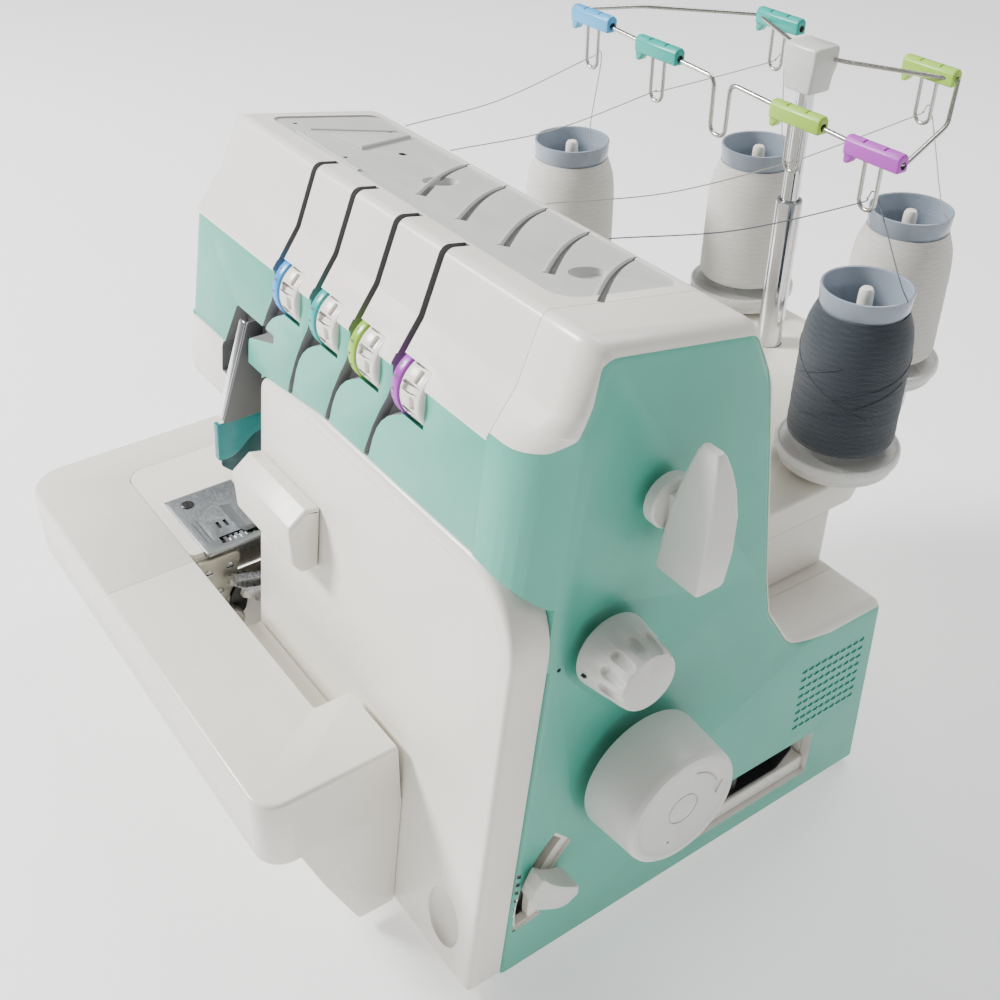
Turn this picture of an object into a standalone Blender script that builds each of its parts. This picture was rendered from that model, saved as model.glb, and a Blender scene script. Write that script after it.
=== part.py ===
"""Serger (overlock) sewing machine with its extension table and thread stand.

Machine frame, in millimetres: x = 0 is the right side wall and x falls to the left,
y = 0 is the front bottom edge of that wall and y rises to the rear, z = 0 is the
bottom edge of the housing. The empty "machine_origin" carries that frame to the
place where the object's box is centred on the floor.
"""
import math

import bmesh
import bpy
from mathutils import Matrix, Vector

MM = 0.001
GAP = 0.3                      # clearance between touching pieces
WALL = 3.0                     # thickness of the plastic housings

# Where the machine frame stands in the object's frame (mm).
ORIGIN = (147.2, -125.25, 5.0)

# Main body.
FLOOR_Z = -5.0                 # soles of the feet
BODY_LEFT = -250.0
SEAM_X = -28.5                 # seam between the end cap and the middle housings
TOP_FRONT = (35.0, 285.0)      # (y, z) of the top front edge
BED_Z = 92.0                   # working surface
LEAN = 0.1157                  # front faces lean back this much per mm of height
COVER_FACE_Y = -15.7           # cover's face at z = 0
COVER_TOP_Z = 200.0
COVER_LEFT = -187.0
COVER_DEPTH = 16.0             # front to back
COVER_BACK_Y = 0.8             # housing's front edge behind the cover, at z = 0
COVER_LEAN_BACK = 0.118        # lean of that edge
COVER_TRAVEL = 5.0             # to the right, out of its latch
PANEL_FRONT = 0.13             # lean of the coloured panel above the cover
HEAD_LEFT = -262.0
HEAD_BOTTOM = 165.0

# Tension dials.
DIAL_SLOTS = (-174.3, -144.4, -114.5, -84.6)
DIAL_Y = 24.0
DIAL_Z = 238.0
DIAL_RING_RADIUS = 14.0
DIAL_GRIP_RADIUS = 13.2
DIAL_RING_WIDTH = 4.5
DIAL_GRIP_WIDTH = 13.0
DIAL_OFFSET = 1.8              # ring starts this far right of its slot's centre

# Handwheel, belt drive and motor.
WHEEL_Y = 63.8
WHEEL_Z = 90.6
WHEEL_FRONT_X = 30.6
WHEEL_FRONT_RADIUS = 26.3
WHEEL_REAR_X = 4.5
WHEEL_REAR_RADIUS = 28.0
SHAFT_RADIUS = 5.0
PULLEY_LOW_X = -18.0
PULLEY_HIGH_X = -10.0
SHAFT_PULLEY_RADIUS = 24.0
MOTOR_PULLEY_RADIUS = 6.0
MOTOR_Y = 150.0
MOTOR_Z = 66.0

# Other controls on the right side.
STITCH_Y = 44.7
STITCH_Z = 162.5
LIFTER_Y = 64.0
LIFTER_Z = 221.0
FEED_PIVOT = (63.0, 29.0)
FEED_RADIUS = 51.5             # middle of the arc slot
FEED_REST = 158.0              # the lever's direction from its pivot, in degrees
FEED_SWEEP = 20.0              # each way
INLET_LOW = (104.0, 13.0)
INLET_HIGH = (178.0, 37.0)
SWITCH_Y = 122.0
SWITCH_Z = 25.0

# Needle, presser and loopers.
NEEDLE_BAR_X = -228.0
NEEDLE_BAR_Y = 19.0
NEEDLES_X = (-230.6, -225.4)
NEEDLES_Y = 12.0
PRESSER_BAR_Y = 33.0
NEEDLE_PLATE_LOW = (-263.0, -19.0)
NEEDLE_PLATE_HIGH = (-213.0, 17.0)
LOOPER_PIVOT = (34.0, 44.0)
GUARD_PIVOT = (-3.0, 169.5)

# Extension table.
TABLE_LEFT = -325.0
TABLE_FRONT = -70.0
TABLE_RIGHT = -57.0
TABLE_BACK = 43.0
TABLE_SKIRT_Z = 58.0
BED_LEFT = -298.0
BED_FRONT = -26.0

# Spool stand: cones left front, left rear, right rear, right front.
CONES = ((-246.0, 218.0), (-187.0, 293.0), (-89.0, 293.0), (-47.0, 216.0))
CONE_BOTTOM_Z = 164.0
CONE_TOP_Z = 234.7
STAND_BOTTOM_Z = 133.0
STAND_TOP_Z = 148.0
POLE_X = -142.0
POLE_Y = 270.0
POLE_TOP_Z = 287.0
GUIDE_LEFT = (-246.0, 216.0, 299.0)
GUIDE_RIGHT = (-42.0, 216.0, 286.5)
GUIDE_REAR_Y = 294.0
GUIDE_REAR_Z = 295.5
GUIDE_WIRE_RADIUS = 1.0
LOOP_DROP = 23.0
LOOP_WIDTH = 8.0
THREAD_RADIUS = 0.25
THREAD_HOLES = (-213.0, -178.0, -112.0, -74.0)

MINT = (0.39, 0.70, 0.60)
WHITE = (0.80, 0.79, 0.76)
CREAM = (0.76, 0.74, 0.68)
GREY = (0.33, 0.33, 0.34)
BLACK = (0.03, 0.03, 0.035)
STEEL = (0.56, 0.57, 0.58)
CHROME = (0.78, 0.79, 0.80)
CAST = (0.45, 0.46, 0.47)
TURQUOISE = (0.0, 0.30, 0.32)
RING_COLOURS = (
    (0.12, 0.45, 0.80),
    (0.0, 0.45, 0.42),
    (0.45, 0.70, 0.15),
    (0.55, 0.12, 0.62),
)


# ---------------------------------------------------------------- helpers

def clear_scene():
    for thing in list(bpy.data.objects):
        bpy.data.objects.remove(thing, do_unlink=True)


def new_collection(name):
    collection = bpy.data.collections.new(name)
    bpy.context.scene.collection.children.link(collection)
    return collection


def material(name, colour, roughness=0.4, metallic=0.0):
    found = bpy.data.materials.get(name)
    if found:
        return found
    made = bpy.data.materials.new(name)
    made.use_nodes = True
    shader = made.node_tree.nodes["Principled BSDF"]
    shader.inputs["Base Color"].default_value = (*colour, 1.0)
    shader.inputs["Roughness"].default_value = roughness
    shader.inputs["Metallic"].default_value = metallic
    return made


def add_object(name, data, location, look, collection=None):
    """Put mesh or curve data in the machine frame at a location in millimetres."""
    thing = bpy.data.objects.new(name, data)
    (collection or PARTS).objects.link(thing)
    thing.parent = MACHINE
    thing.location = Vector(location) * MM
    if look:
        data.materials.append(look)
    return thing


def shade(thing, angle=35.0):
    thing.data.shade_smooth()
    thing.data.set_sharp_from_angle(angle=math.radians(angle))


def box(name, low, high, look, bevel=0.0, segments=2):
    """Box between two corners, its long edges rounded by bevel."""
    low = Vector(low)
    high = Vector(high)
    shape = bmesh.new()
    bmesh.ops.create_cube(shape, size=1.0)
    bmesh.ops.scale(shape, vec=(high - low) * MM, verts=shape.verts)
    mesh = bpy.data.meshes.new(name)
    shape.to_mesh(mesh)
    shape.free()
    thing = add_object(name, mesh, (low + high) / 2, look)
    if bevel:
        soften(thing, bevel, segments)
    return thing


def soften(thing, width, segments=2, angle=40.0):
    rounding = thing.modifiers.new("rounding", "BEVEL")
    rounding.width = width * MM
    rounding.segments = segments
    rounding.limit_method = "ANGLE"
    rounding.angle_limit = math.radians(angle)


def cylinder(name, start, end, radius, look, sides=24, end_radius=None):
    """Cylinder or cone frustum from start to end."""
    start = Vector(start)
    end = Vector(end)
    along = end - start
    shape = bmesh.new()
    bmesh.ops.create_cone(
        shape,
        cap_ends=True,
        segments=sides,
        radius1=radius * MM,
        radius2=(radius if end_radius is None else end_radius) * MM,
        depth=along.length * MM,
    )
    mesh = bpy.data.meshes.new(name)
    shape.to_mesh(mesh)
    shape.free()
    thing = add_object(name, mesh, (start + end) / 2, look)
    thing.rotation_euler = along.to_track_quat("Z", "Y").to_euler()
    shade(thing)
    return thing


AXIS_TURN = {
    "Z": Matrix.Identity(3),
    "X": Matrix(((0, 0, 1), (1, 0, 0), (0, 1, 0))),
    "Y": Matrix(((1, 0, 0), (0, 0, -1), (0, 1, 0))),
}


def turned(name, centre, profile, look, axis="Z", steps=36):
    """Revolve (radius, height) points, listed from the top down the outer side."""
    mesh = bpy.data.meshes.new(name)
    points = [(radius * MM, 0.0, height * MM) for radius, height in profile]
    edges = [(i, i + 1) for i in range(len(points) - 1)]
    mesh.from_pydata(points, edges, [])
    thing = add_object(name, mesh, centre, look)
    thing.rotation_euler = AXIS_TURN[axis].to_euler()
    screw = thing.modifiers.new("turn", "SCREW")
    screw.axis = "Z"
    screw.steps = steps
    screw.render_steps = steps
    screw.use_merge_vertices = True
    screw.merge_threshold = 0.00001
    screw.use_smooth_shade = True
    return thing


def arc(centre, radius, start, end, count):
    """Points on an arc, angles in degrees."""
    points = []
    for i in range(count + 1):
        angle = math.radians(start + (end - start) * i / count)
        points.append((centre[0] + radius * math.cos(angle), centre[1] + radius * math.sin(angle)))
    return points


def filleted(corners, count=4):
    """Outline from (x, y) or (x, y, radius) corners, the radii turned into arcs."""
    outline = []
    for i, corner in enumerate(corners):
        here = Vector(corner[:2])
        radius = corner[2] if len(corner) > 2 else 0.0
        if not radius:
            outline.append(tuple(here))
            continue
        before = (Vector(corners[i - 1][:2]) - here).normalized()
        after = (Vector(corners[(i + 1) % len(corners)][:2]) - here).normalized()
        half = before.angle(after) / 2
        reach = radius / math.tan(half)
        centre = here + (before + after).normalized() * radius / math.sin(half)
        first = here + before * reach - centre
        last = here + after * reach - centre
        sweep = first.angle_signed(last)
        for step in range(count + 1):
            turn = Matrix.Rotation(-sweep * step / count, 2)
            outline.append(tuple(centre + turn @ first))
    return outline


def plate(name, outlines, axis, low, high, look):
    """Extrude closed outlines along an axis; outlines inside the first are holes.

    The outline plane is (y, z) for X, (x, z) for Y and (x, y) for Z.
    """
    curve = bpy.data.curves.new(name, "CURVE")
    curve.dimensions = "2D"
    curve.fill_mode = "BOTH"
    curve.extrude = (high - low) / 2 * MM
    for outline in outlines:
        spline = curve.splines.new("POLY")
        spline.points.add(len(outline) - 1)
        spline.use_cyclic_u = True
        for point, (a, b) in zip(spline.points, outline):
            point.co = (a * MM, b * MM, 0.0, 1.0)
    middle = (low + high) / 2
    location = {"X": (middle, 0, 0), "Y": (0, middle, 0), "Z": (0, 0, middle)}[axis]
    thing = add_object(name, curve, location, look)
    thing.rotation_euler = AXIS_TURN[axis].to_euler()
    return solid(thing)


def tube(name, points, radius, look, resolution=2):
    """Round wire through 3D points, its caps closed."""
    curve = bpy.data.curves.new(name, "CURVE")
    curve.dimensions = "3D"
    curve.bevel_depth = radius * MM
    curve.bevel_resolution = resolution
    curve.use_fill_caps = True
    spline = curve.splines.new("POLY")
    spline.points.add(len(points) - 1)
    for target, point in zip(spline.points, points):
        target.co = (*(Vector(point) * MM), 1.0)
    return solid(add_object(name, curve, (0, 0, 0), look))


def solid(thing):
    """Turn a curve object into a mesh object whose caps are welded on."""
    bpy.context.view_layer.update()
    evaluated = thing.evaluated_get(bpy.context.evaluated_depsgraph_get())
    mesh = bpy.data.meshes.new_from_object(evaluated)
    shape = bmesh.new()
    shape.from_mesh(mesh)
    bmesh.ops.remove_doubles(shape, verts=shape.verts, dist=0.000005)
    bmesh.ops.recalc_face_normals(shape, faces=shape.faces)
    shape.to_mesh(mesh)
    shape.free()
    made = bpy.data.objects.new("mesh", mesh)
    PARTS.objects.link(made)
    made.parent = MACHINE
    made.matrix_world = thing.matrix_world
    name = thing.name
    bpy.data.objects.remove(thing, do_unlink=True)
    made.name = name
    mesh.name = name
    shade(made)
    return made


def set_pivot(thing, pivot):
    """Move an object's origin to its joint's axis, leaving its shape in place."""
    bpy.context.view_layer.update()
    target = MACHINE.matrix_world @ (Vector(pivot) * MM)
    shift = thing.matrix_world.inverted() @ target
    thing.data.transform(Matrix.Translation(-shift))
    thing.matrix_world = thing.matrix_world @ Matrix.Translation(shift)


def as_cutter(thing):
    for collection in list(thing.users_collection):
        collection.objects.unlink(thing)
    CUTTERS.objects.link(thing)
    thing.hide_render = True
    thing.display_type = "WIRE"


def combine(target, piece, operation):
    as_cutter(piece)
    step = target.modifiers.new(operation.lower(), "BOOLEAN")
    step.operation = operation
    step.solver = "EXACT"
    step.object = piece


def cut(target, piece):
    combine(target, piece, "DIFFERENCE")


def join(target, piece):
    combine(target, piece, "UNION")


def cover_face(z):
    return COVER_FACE_Y + LEAN * z


def panel_face(z):
    """Front of the coloured panel and head above the cover."""
    return 13.5 - PANEL_FRONT * (246.0 - z)


# ------------------------------------------------------- fixed structure

def make_base():
    look = material("base_plastic", WHITE, 0.5)
    outline = filleted([
        (-294, -22, 10), (-190, -22, 4), (-190, 6), (-3.4, 6, 3), (-3.4, 206, 8), (-247, 206, 4),
        (-247, 114), (-294, 114, 10),
    ])
    base = plate("base_plate", [outline], "Z", 0.0, 8.0, look)
    for x, y in ((-278, -6), (-20, 24), (-20, 186), (-230, 186)):
        join(base, cylinder("foot", (x, y, FLOOR_Z), (x, y, 4.0), 9.0, None, 20))
    return base


def make_frame():
    look = material("cast_frame", CAST, 0.55, 0.6)
    frame = box("frame_casting", (-182, 84, 8 + GAP), (-46, 120, 30), look)
    join(frame, box("column", (-80, 84, 20), (-46, 104, 256), None))
    join(frame, box("arm", (-242, 60, 208), (-50, 98, 254), None))
    join(frame, box("head_block", (-242, 42, 208), (-214, 70, 250), None))
    return frame


def side_outline(inset=0.0, foot=0.0):
    """Right side wall from its front bottom corner up over the top and down the rear."""
    top = TOP_FRONT[1] - 5.4 - inset
    return [
        (COVER_BACK_Y + inset, foot),
        (COVER_BACK_Y + COVER_LEAN_BACK * 160 + inset, 160.0),
        (panel_face(160) + inset, 160.0 + inset),
        (panel_face(246) + inset, 247.0, 5),
        (24.0 + inset, 252.0, 6),
        (35.0 + inset, top, 5),
        (105.0 - inset, top - 12.4, 10),
        (117.0 - inset, 217.0),
        (127.0 - inset, 153.0, 20),
        (136.0 - inset, 118.0 - inset, 12),
        (158.0 - inset, 100.0 - inset, 20),
        (208.0 - inset, 99.5 - inset, 6),
        (214.0 - inset, foot, 3),
    ]


def make_end_cap():
    """Coloured right end: a deep cap, open towards the middle of the machine."""
    look = material("mint_plastic", MINT, 0.35)
    cap = plate("end_cap", [filleted(side_outline())], "X", SEAM_X, 0.0, look)
    room = filleted(side_outline(WALL, -5.0), 2)
    cut(cap, plate("room", [room], "X", SEAM_X - 5, -WALL, None))
    cut(cap, cover_block("cover_room", 0.6))
    travel_room = cover_block("travel_room", 0.6)
    travel_room.location.x += COVER_TRAVEL * MM
    cut(cap, travel_room)
    cut(cap, cylinder("bore", (-8, WHEEL_Y, WHEEL_Z), (5, WHEEL_Y, WHEEL_Z), SHAFT_RADIUS + 1, None))
    cut(cap, cylinder("bore", (-8, STITCH_Y, STITCH_Z), (5, STITCH_Y, STITCH_Z), 4.0, None, 16))
    cut(cap, cylinder("bore", (-8, LIFTER_Y, LIFTER_Z), (5, LIFTER_Y, LIFTER_Z), 4.5, None, 16))
    first = FEED_REST - FEED_SWEEP - 6
    last = FEED_REST + FEED_SWEEP + 6
    slot = arc(FEED_PIVOT, FEED_RADIUS + 5.5, first, last, 8)
    slot += arc(FEED_PIVOT, FEED_RADIUS - 5.5, last, first, 8)
    cut(cap, plate("slot", [slot], "X", -8, 5, None))
    inlet = box("mouth", (-8, *INLET_LOW), (5, *INLET_HIGH), None)
    cut(cap, inlet)
    for row in range(8):
        z = 47.5 + row * 5.0
        cut(cap, box("vent", (-8, 162 - 0.1 * row, z), (5, 203 - 0.1 * row, z + 2.2), None))
    return cap


def body_path(inset=0.0):
    """Outer skin of the light housings above and behind: front lip, top, rear."""
    return [
        (panel_face(246) + inset, 246.4),
        (18.5 + inset, 253.7 - inset / 2),
        (24.0 + inset, 259.5 - inset / 2),
        (28.6 + inset, 271.0 - inset / 2),
        (TOP_FRONT[0] + inset / 2, TOP_FRONT[1] - inset),
        (97.0 - inset / 3, 274.0 - inset),
        (106.0 - inset, 269.0 - inset),
        (114.0 - inset, 251.0),
        (120.0 - inset, 216.0),
        (127.0 - inset, 170.0),
    ]


def make_end_trim():
    """Light band over the end cap: front, top and rear edge of the right side."""
    look = material("white_plastic", WHITE, 0.35)
    outer = body_path()[:-1] + [
        (125.0, 183.0), (130.0, 151.0), (133.0, 137.0), (140.0, 122.5), (150.0, 109.5),
        (161.0, 104.2), (206.0, 103.0), (211.6, 99.6),
    ]
    inner = filleted(side_outline(-GAP))
    start = min(range(len(inner)), key=lambda i: abs(inner[i][1] - 246.4) + abs(inner[i][0] - 13.5))
    end = max(range(len(inner)), key=lambda i: inner[i][0] * 2 + inner[i][1])
    trim_outline = outer + inner[start:end + 1][::-1]
    return plate("end_trim", [trim_outline], "X", SEAM_X + GAP, -0.2, look)


def dial_low_x(slot):
    return slot + DIAL_OFFSET


def make_upper_housing():
    look = material("white_plastic", WHITE, 0.35)
    outline = body_path() + body_path(WALL)[::-1]
    upper = plate("upper_housing", [outline], "X", BODY_LEFT, SEAM_X - GAP, look)
    for slot in DIAL_SLOTS:
        low = dial_low_x(slot) - 3.2
        high = dial_low_x(slot) + DIAL_RING_WIDTH + DIAL_GRIP_WIDTH + 0.8
        cut(upper, box("window", (low, 0, 240), (high, 42, 256), None))
        cut(upper, box("slit", (slot - 1.6, 0, 250), (slot + 1.6, 42, 290), None))
    for x in (-149.0, -55.0):
        cut(upper, cylinder("hole", (x, 75, 260), (x, 75, 290), 5.5, None, 20))
    return upper


def make_front_panel():
    """Coloured middle panel, with a window for each tension dial."""
    look = material("mint_plastic", MINT, 0.35)
    low_z = COVER_TOP_Z - 8
    outline = [
        (panel_face(low_z), low_z),
        (panel_face(246), 246.0),
        (panel_face(246) + WALL, 246.0),
        (panel_face(low_z) + WALL, low_z),
    ]
    panel = plate("front_panel", [outline], "X", COVER_LEFT, SEAM_X - GAP, look)
    for slot in DIAL_SLOTS:
        low = dial_low_x(slot) - 3.2
        high = dial_low_x(slot) + DIAL_RING_WIDTH + DIAL_GRIP_WIDTH + 0.8
        cut(panel, box("window", (low, -5, 221), (high, 42, 250), None))
    cut(panel, cover_block("cover_room", 0.6))
    return panel


def make_head():
    """Left end of the arm: front wall, left wall and the light nose below."""
    look = material("mint_plastic", MINT, 0.35)
    outline = [
        (panel_face(HEAD_BOTTOM) + 2, HEAD_BOTTOM),
        (panel_face(172), 172.0),
        (panel_face(246), 246.0),
        (panel_face(246) + WALL, 246.0),
        (panel_face(180) + WALL, 180.0),
        (panel_face(HEAD_BOTTOM) + 2 + WALL, HEAD_BOTTOM),
    ]
    head = plate("head_housing", [outline], "X", BODY_LEFT + 2, -214.0, look)
    wall = [
        (panel_face(HEAD_BOTTOM) + 2, HEAD_BOTTOM),
        (panel_face(172), 172.0),
        (panel_face(246), 246.0),
        (27.0, 258.0),
        (38.0, 280.0),
        (96.0, 269.0, 6),
        (110.0, 251.0),
        (122.0, 172.0),
        (118.0, HEAD_BOTTOM, 4),
    ]
    join(head, plate("wall", [filleted(wall, 2)], "X", HEAD_LEFT, BODY_LEFT - GAP, None))
    join(head, box("bridge", (BODY_LEFT - 2, 6, HEAD_BOTTOM + 1), (BODY_LEFT + 3, 7, 245), None))
    return head


def make_rear_housing():
    look = material("cream_plastic", CREAM, 0.4)
    outer = [
        (127.0, 169.5), (130.0, 151.0), (133.0, 137.0), (140.0, 122.5), (150.0, 109.5),
        (161.0, 104.2), (206.0, 103.0), (209.0, 100.0), (214.0, 9.0),
    ]
    inner = [
        (211.0, 9.0), (206.2, 100.0), (161.0, 101.2), (148.0, 106.5), (137.4, 121.0),
        (130.0, 136.4), (127.0, 150.5), (124.0, 169.5),
    ]
    rear = plate("rear_housing", [outer + inner], "X", BODY_LEFT, SEAM_X - GAP, look)
    side = outer + [(119.0, 9.0), (119.0, 150.0)]
    join(rear, plate("side", [side], "X", BODY_LEFT, BODY_LEFT + WALL, None))
    return rear


def make_bed():
    """Sewing bed left of the cover, open below and on its looper side."""
    look = material("white_plastic", WHITE, 0.35)
    outline = filleted([
        (BED_LEFT, BED_FRONT, 10), (-216, BED_FRONT, 3), (-216, 22), (COVER_LEFT - 3, 22),
        (COVER_LEFT - 3, 118), (BED_LEFT, 118, 12),
    ])
    bed = plate("bed_housing", [outline], "Z", 8 + GAP, BED_Z - 3 - GAP, look)
    room = filleted([
        (BED_LEFT + 3, BED_FRONT + 3, 7), (-216 - WALL, BED_FRONT + 3), (-216 - WALL, 19), (-180, 19),
        (-180, 115), (BED_LEFT + 3, 115, 9),
    ])
    cut(bed, plate("room", [room], "Z", 0, BED_Z - 6, None))
    cut(bed, box("mouth", (-262, -18, 60), (-190, 60, 100), None))
    return bed


def make_cloth_plate():
    look = material("white_plastic", WHITE, 0.35)
    left, front = NEEDLE_PLATE_LOW
    back = NEEDLE_PLATE_HIGH[1]
    outline = filleted([
        (BED_LEFT, BED_FRONT, 10), (-216, BED_FRONT, 3), (-216, front - GAP), (left - GAP, front - GAP),
        (left - GAP, back + GAP), (COVER_LEFT - 3, back + GAP), (COVER_LEFT - 3, 118), (BED_LEFT, 118, 12),
    ])
    return plate("cloth_plate", [outline], "Z", BED_Z - 3, BED_Z, look)


def make_needle_plate():
    look = material("brushed_steel", STEEL, 0.35, 1.0)
    low = (*NEEDLE_PLATE_LOW, BED_Z - 2.2)
    high = (*NEEDLE_PLATE_HIGH, BED_Z)
    needle_plate = box("needle_plate", low, high, look)
    cut(needle_plate, box("needle_slot", (-232.4, NEEDLES_Y - 2, 80), (-223.6, NEEDLES_Y + 2, 100), None))
    cut(needle_plate, box("feed_slot", (-222.2, -9, 80), (-216.8, 12, 100), None))
    return needle_plate


def make_face_plate():
    """Bright upright channel on the front of the head, leaning forward at its foot."""
    look = material("chrome", CHROME, 0.12, 1.0)
    flange = [(10.0, 211.0), (-5.0, 171.0), (-3.0, 171.0), (12.0, 211.0)]
    face = plate("face_plate", [flange], "X", -211.0, -202.0, look)
    web = [(10.6, 211.0), (-4.4, 171.0), (16.0, 171.0), (26.0, 205.0), (22.0, 211.0)]
    join(face, plate("web", [web], "X", -203.4, -202.0, None))
    return face


def make_inlet():
    """Recessed power inlet: a walled tray with the contact block in it."""
    look = material("black_plastic", BLACK, 0.45)
    low_y, low_z = INLET_LOW
    high_y, high_z = INLET_HIGH
    inlet = box("power_inlet", (-18, low_y + GAP, low_z + GAP), (-0.5, high_y - GAP, high_z - GAP), look)
    cut(inlet, box("tray", (-16, low_y + 2, low_z + 2), (5, high_y - 2, high_z - 2), None))
    join(inlet, box("contacts", (-17, 142, 16), (-7, 168, 34), None))
    cut(inlet, box("throat", (-13, 145, 19), (5, 165, 31), None))
    return inlet


def make_motor():
    look = material("motor_steel", GREY, 0.5, 0.8)
    motor = cylinder("motor", (-104, MOTOR_Y, MOTOR_Z), (-32, MOTOR_Y, MOTOR_Z), 21.0, look, 28)
    join(motor, box("foot", (-96, MOTOR_Y - 15, 8 + GAP), (-40, MOTOR_Y + 15, MOTOR_Z - 10), None))
    return motor


def belt_outline(wheel_radius, motor_radius, count=14):
    """Taut loop round the two pulleys, in the (y, z) plane."""
    across = Vector((MOTOR_Y - WHEEL_Y, MOTOR_Z - WHEEL_Z))
    heading = math.degrees(math.atan2(across.y, across.x))
    spread = math.degrees(math.acos((wheel_radius - motor_radius) / across.length))
    big = arc((WHEEL_Y, WHEEL_Z), wheel_radius, heading + spread, heading + 360 - spread, count)
    small = arc((MOTOR_Y, MOTOR_Z), motor_radius, heading - spread, heading + spread, count // 2)
    return big + small


def make_belt():
    look = material("belt_rubber", BLACK, 0.8)
    outer = belt_outline(SHAFT_PULLEY_RADIUS + 2.0, MOTOR_PULLEY_RADIUS + 2.0)
    inner = belt_outline(SHAFT_PULLEY_RADIUS + 0.4, MOTOR_PULLEY_RADIUS + 0.4)
    return plate("drive_belt", [outer, inner], "X", PULLEY_LOW_X + 1, PULLEY_HIGH_X - 1, look)


def make_lamp():
    look = material("lamp_lens", WHITE, 0.2)
    return cylinder("lamp", (-196, 30, 178), (-196, 30, 196), 6.0, look, 16, 5.0)


# ---------------------------------------------------------- spool stand

def make_spool_stand():
    look = material("cream_plastic", CREAM, 0.4)
    stand = box("spool_stand", (-248, 163, 104.3 + GAP), (-34, 205, STAND_BOTTOM_Z + 1), look)
    slab = filleted([
        (-250, 137, 4), (-34, 137, 4), (-34, 216, 11.5), (-77, 305, 11.5),
        (-199, 305, 11.5), (-258, 220, 11.5),
    ])
    join(stand, plate("slab", [slab], "Z", STAND_BOTTOM_Z, STAND_TOP_Z, None))
    for x, y in CONES:
        cut(stand, cylinder("pin_seat", (x, y, 140), (x, y, 160), 5.5, None, 20))
    cut(stand, cylinder("pole_seat", (POLE_X, POLE_Y, 137), (POLE_X, POLE_Y, 160), 6.8, None, 20))
    return stand


def make_spool_pin(index, x, y):
    """Round rest for a cone, with its pin and the boss that seats it in the stand."""
    look = material("clear_white_plastic", WHITE, 0.3)
    profile = [
        (0, 226), (2.2, 226), (3.0, 224), (3.4, 170), (4.0, 162), (26.0, 160), (27.5, 158.5),
        (27.5, 153), (24.0, 150), (12.0, 149), (12.0, STAND_TOP_Z + GAP), (5.2, STAND_TOP_Z + GAP),
        (5.2, 141), (0, 141),
    ]
    return turned(f"spool_pin_{index}", (x, y, 0), profile, look, steps=24)


def make_cone(index, x, y):
    """Thread wound on its tube, the tube's rim standing out on top."""
    colour = GREY if index == 4 else WHITE
    look = material(f"thread_cone_{index}", colour, 0.8)
    bore = 15.5
    profile = [
        (bore, CONE_TOP_Z), (19.2, CONE_TOP_Z), (18.6, 226), (20.0, 222), (22.3, 215), (23.0, 206),
        (23.4, CONE_BOTTOM_Z + 3), (22.4, CONE_BOTTOM_Z), (bore + 2, CONE_BOTTOM_Z),
    ]
    mesh_profile = profile + [profile[0]]
    return turned(f"thread_cone_{index}", (x, y, 0), mesh_profile, look, steps=24)


def make_pole():
    look = material("chrome", CHROME, 0.12, 1.0)
    profile = [
        (4.6, 226), (6.4, 226), (6.4, 138), (4.6, 138), (4.6, 226),
    ]
    return turned("pole_outer", (POLE_X, POLE_Y, 0), profile, look, steps=24)


def make_pole_inner():
    look = material("chrome", CHROME, 0.12, 1.0)
    return cylinder("pole_inner", (POLE_X, POLE_Y, 170), (POLE_X, POLE_Y, POLE_TOP_Z), 4.3, look, 20)


def loop_points(centre, width, drop):
    """Open U of wire hanging below a clip, opened along X."""
    x, y, z = centre
    half = width / 2
    points = [(x - half, y, z)]
    points += [(x + half * math.cos(a), y, z - drop + half + half * math.sin(a))
               for a in [math.radians(180 + 30 * i) for i in range(7)]]
    points += [(x + half, y, z)]
    return points


def guide_point(x):
    """Point on the front guide bar at a given x."""
    share = (x - GUIDE_LEFT[0]) / (GUIDE_RIGHT[0] - GUIDE_LEFT[0])
    return tuple(Vector(GUIDE_LEFT).lerp(Vector(GUIDE_RIGHT), share))


def clip_places():
    front = [guide_point(x) for x in (-231.0, -183.5, -97.0, -55.5)]
    rear = [(x, GUIDE_REAR_Y, GUIDE_REAR_Z) for x in (-185.0, -94.5)]
    return front + rear


def make_guide_bar():
    """Bent wire frame on top of the pole, with its head block and six clips."""
    look = material("guide_wire", STEEL, 0.25, 1.0)
    left = Vector(GUIDE_LEFT)
    right = Vector(GUIDE_RIGHT)
    dip = Vector(guide_point(POLE_X))
    frame_wire = [
        (-199, GUIDE_REAR_Y, GUIDE_REAR_Z),
        (-236, 250, GUIDE_REAR_Z + 2),
        left,
        dip + Vector((-5, 0, 0)),
        dip + Vector((-4.5, 0, -20)),
        dip + Vector((0, 0, -24)),
        dip + Vector((4.5, 0, -20)),
        dip + Vector((5, 0, 0)),
        right,
        (-50, 250, GUIDE_REAR_Z - 2),
        (-80, GUIDE_REAR_Y, GUIDE_REAR_Z),
    ]
    bar = tube("guide_bar", frame_wire, GUIDE_WIRE_RADIUS, look)
    head = box("head", (POLE_X - 10, POLE_Y - 8, POLE_TOP_Z - 8), (POLE_X + 10, POLE_Y + 8, 300), None)
    cut(head, cylinder("socket", (POLE_X, POLE_Y, 270), (POLE_X, POLE_Y, POLE_TOP_Z + GAP), 4.6, None, 20))
    join(bar, head)
    rear = [(-200, GUIDE_REAR_Y, GUIDE_REAR_Z), (POLE_X, POLE_Y, 294), (-79, GUIDE_REAR_Y, GUIDE_REAR_Z)]
    join(bar, tube("rear_wire", rear, GUIDE_WIRE_RADIUS, None))
    for place in clip_places():
        x, y, z = place
        join(bar, box("clip", (x - 14, y - 3, z - 4), (x + 14, y + 3, z + 4), None))
        join(bar, tube("loop", loop_points(place, LOOP_WIDTH, LOOP_DROP), GUIDE_WIRE_RADIUS * 0.9, None))
    return bar


# ------------------------------------------------------- moving pieces

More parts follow.
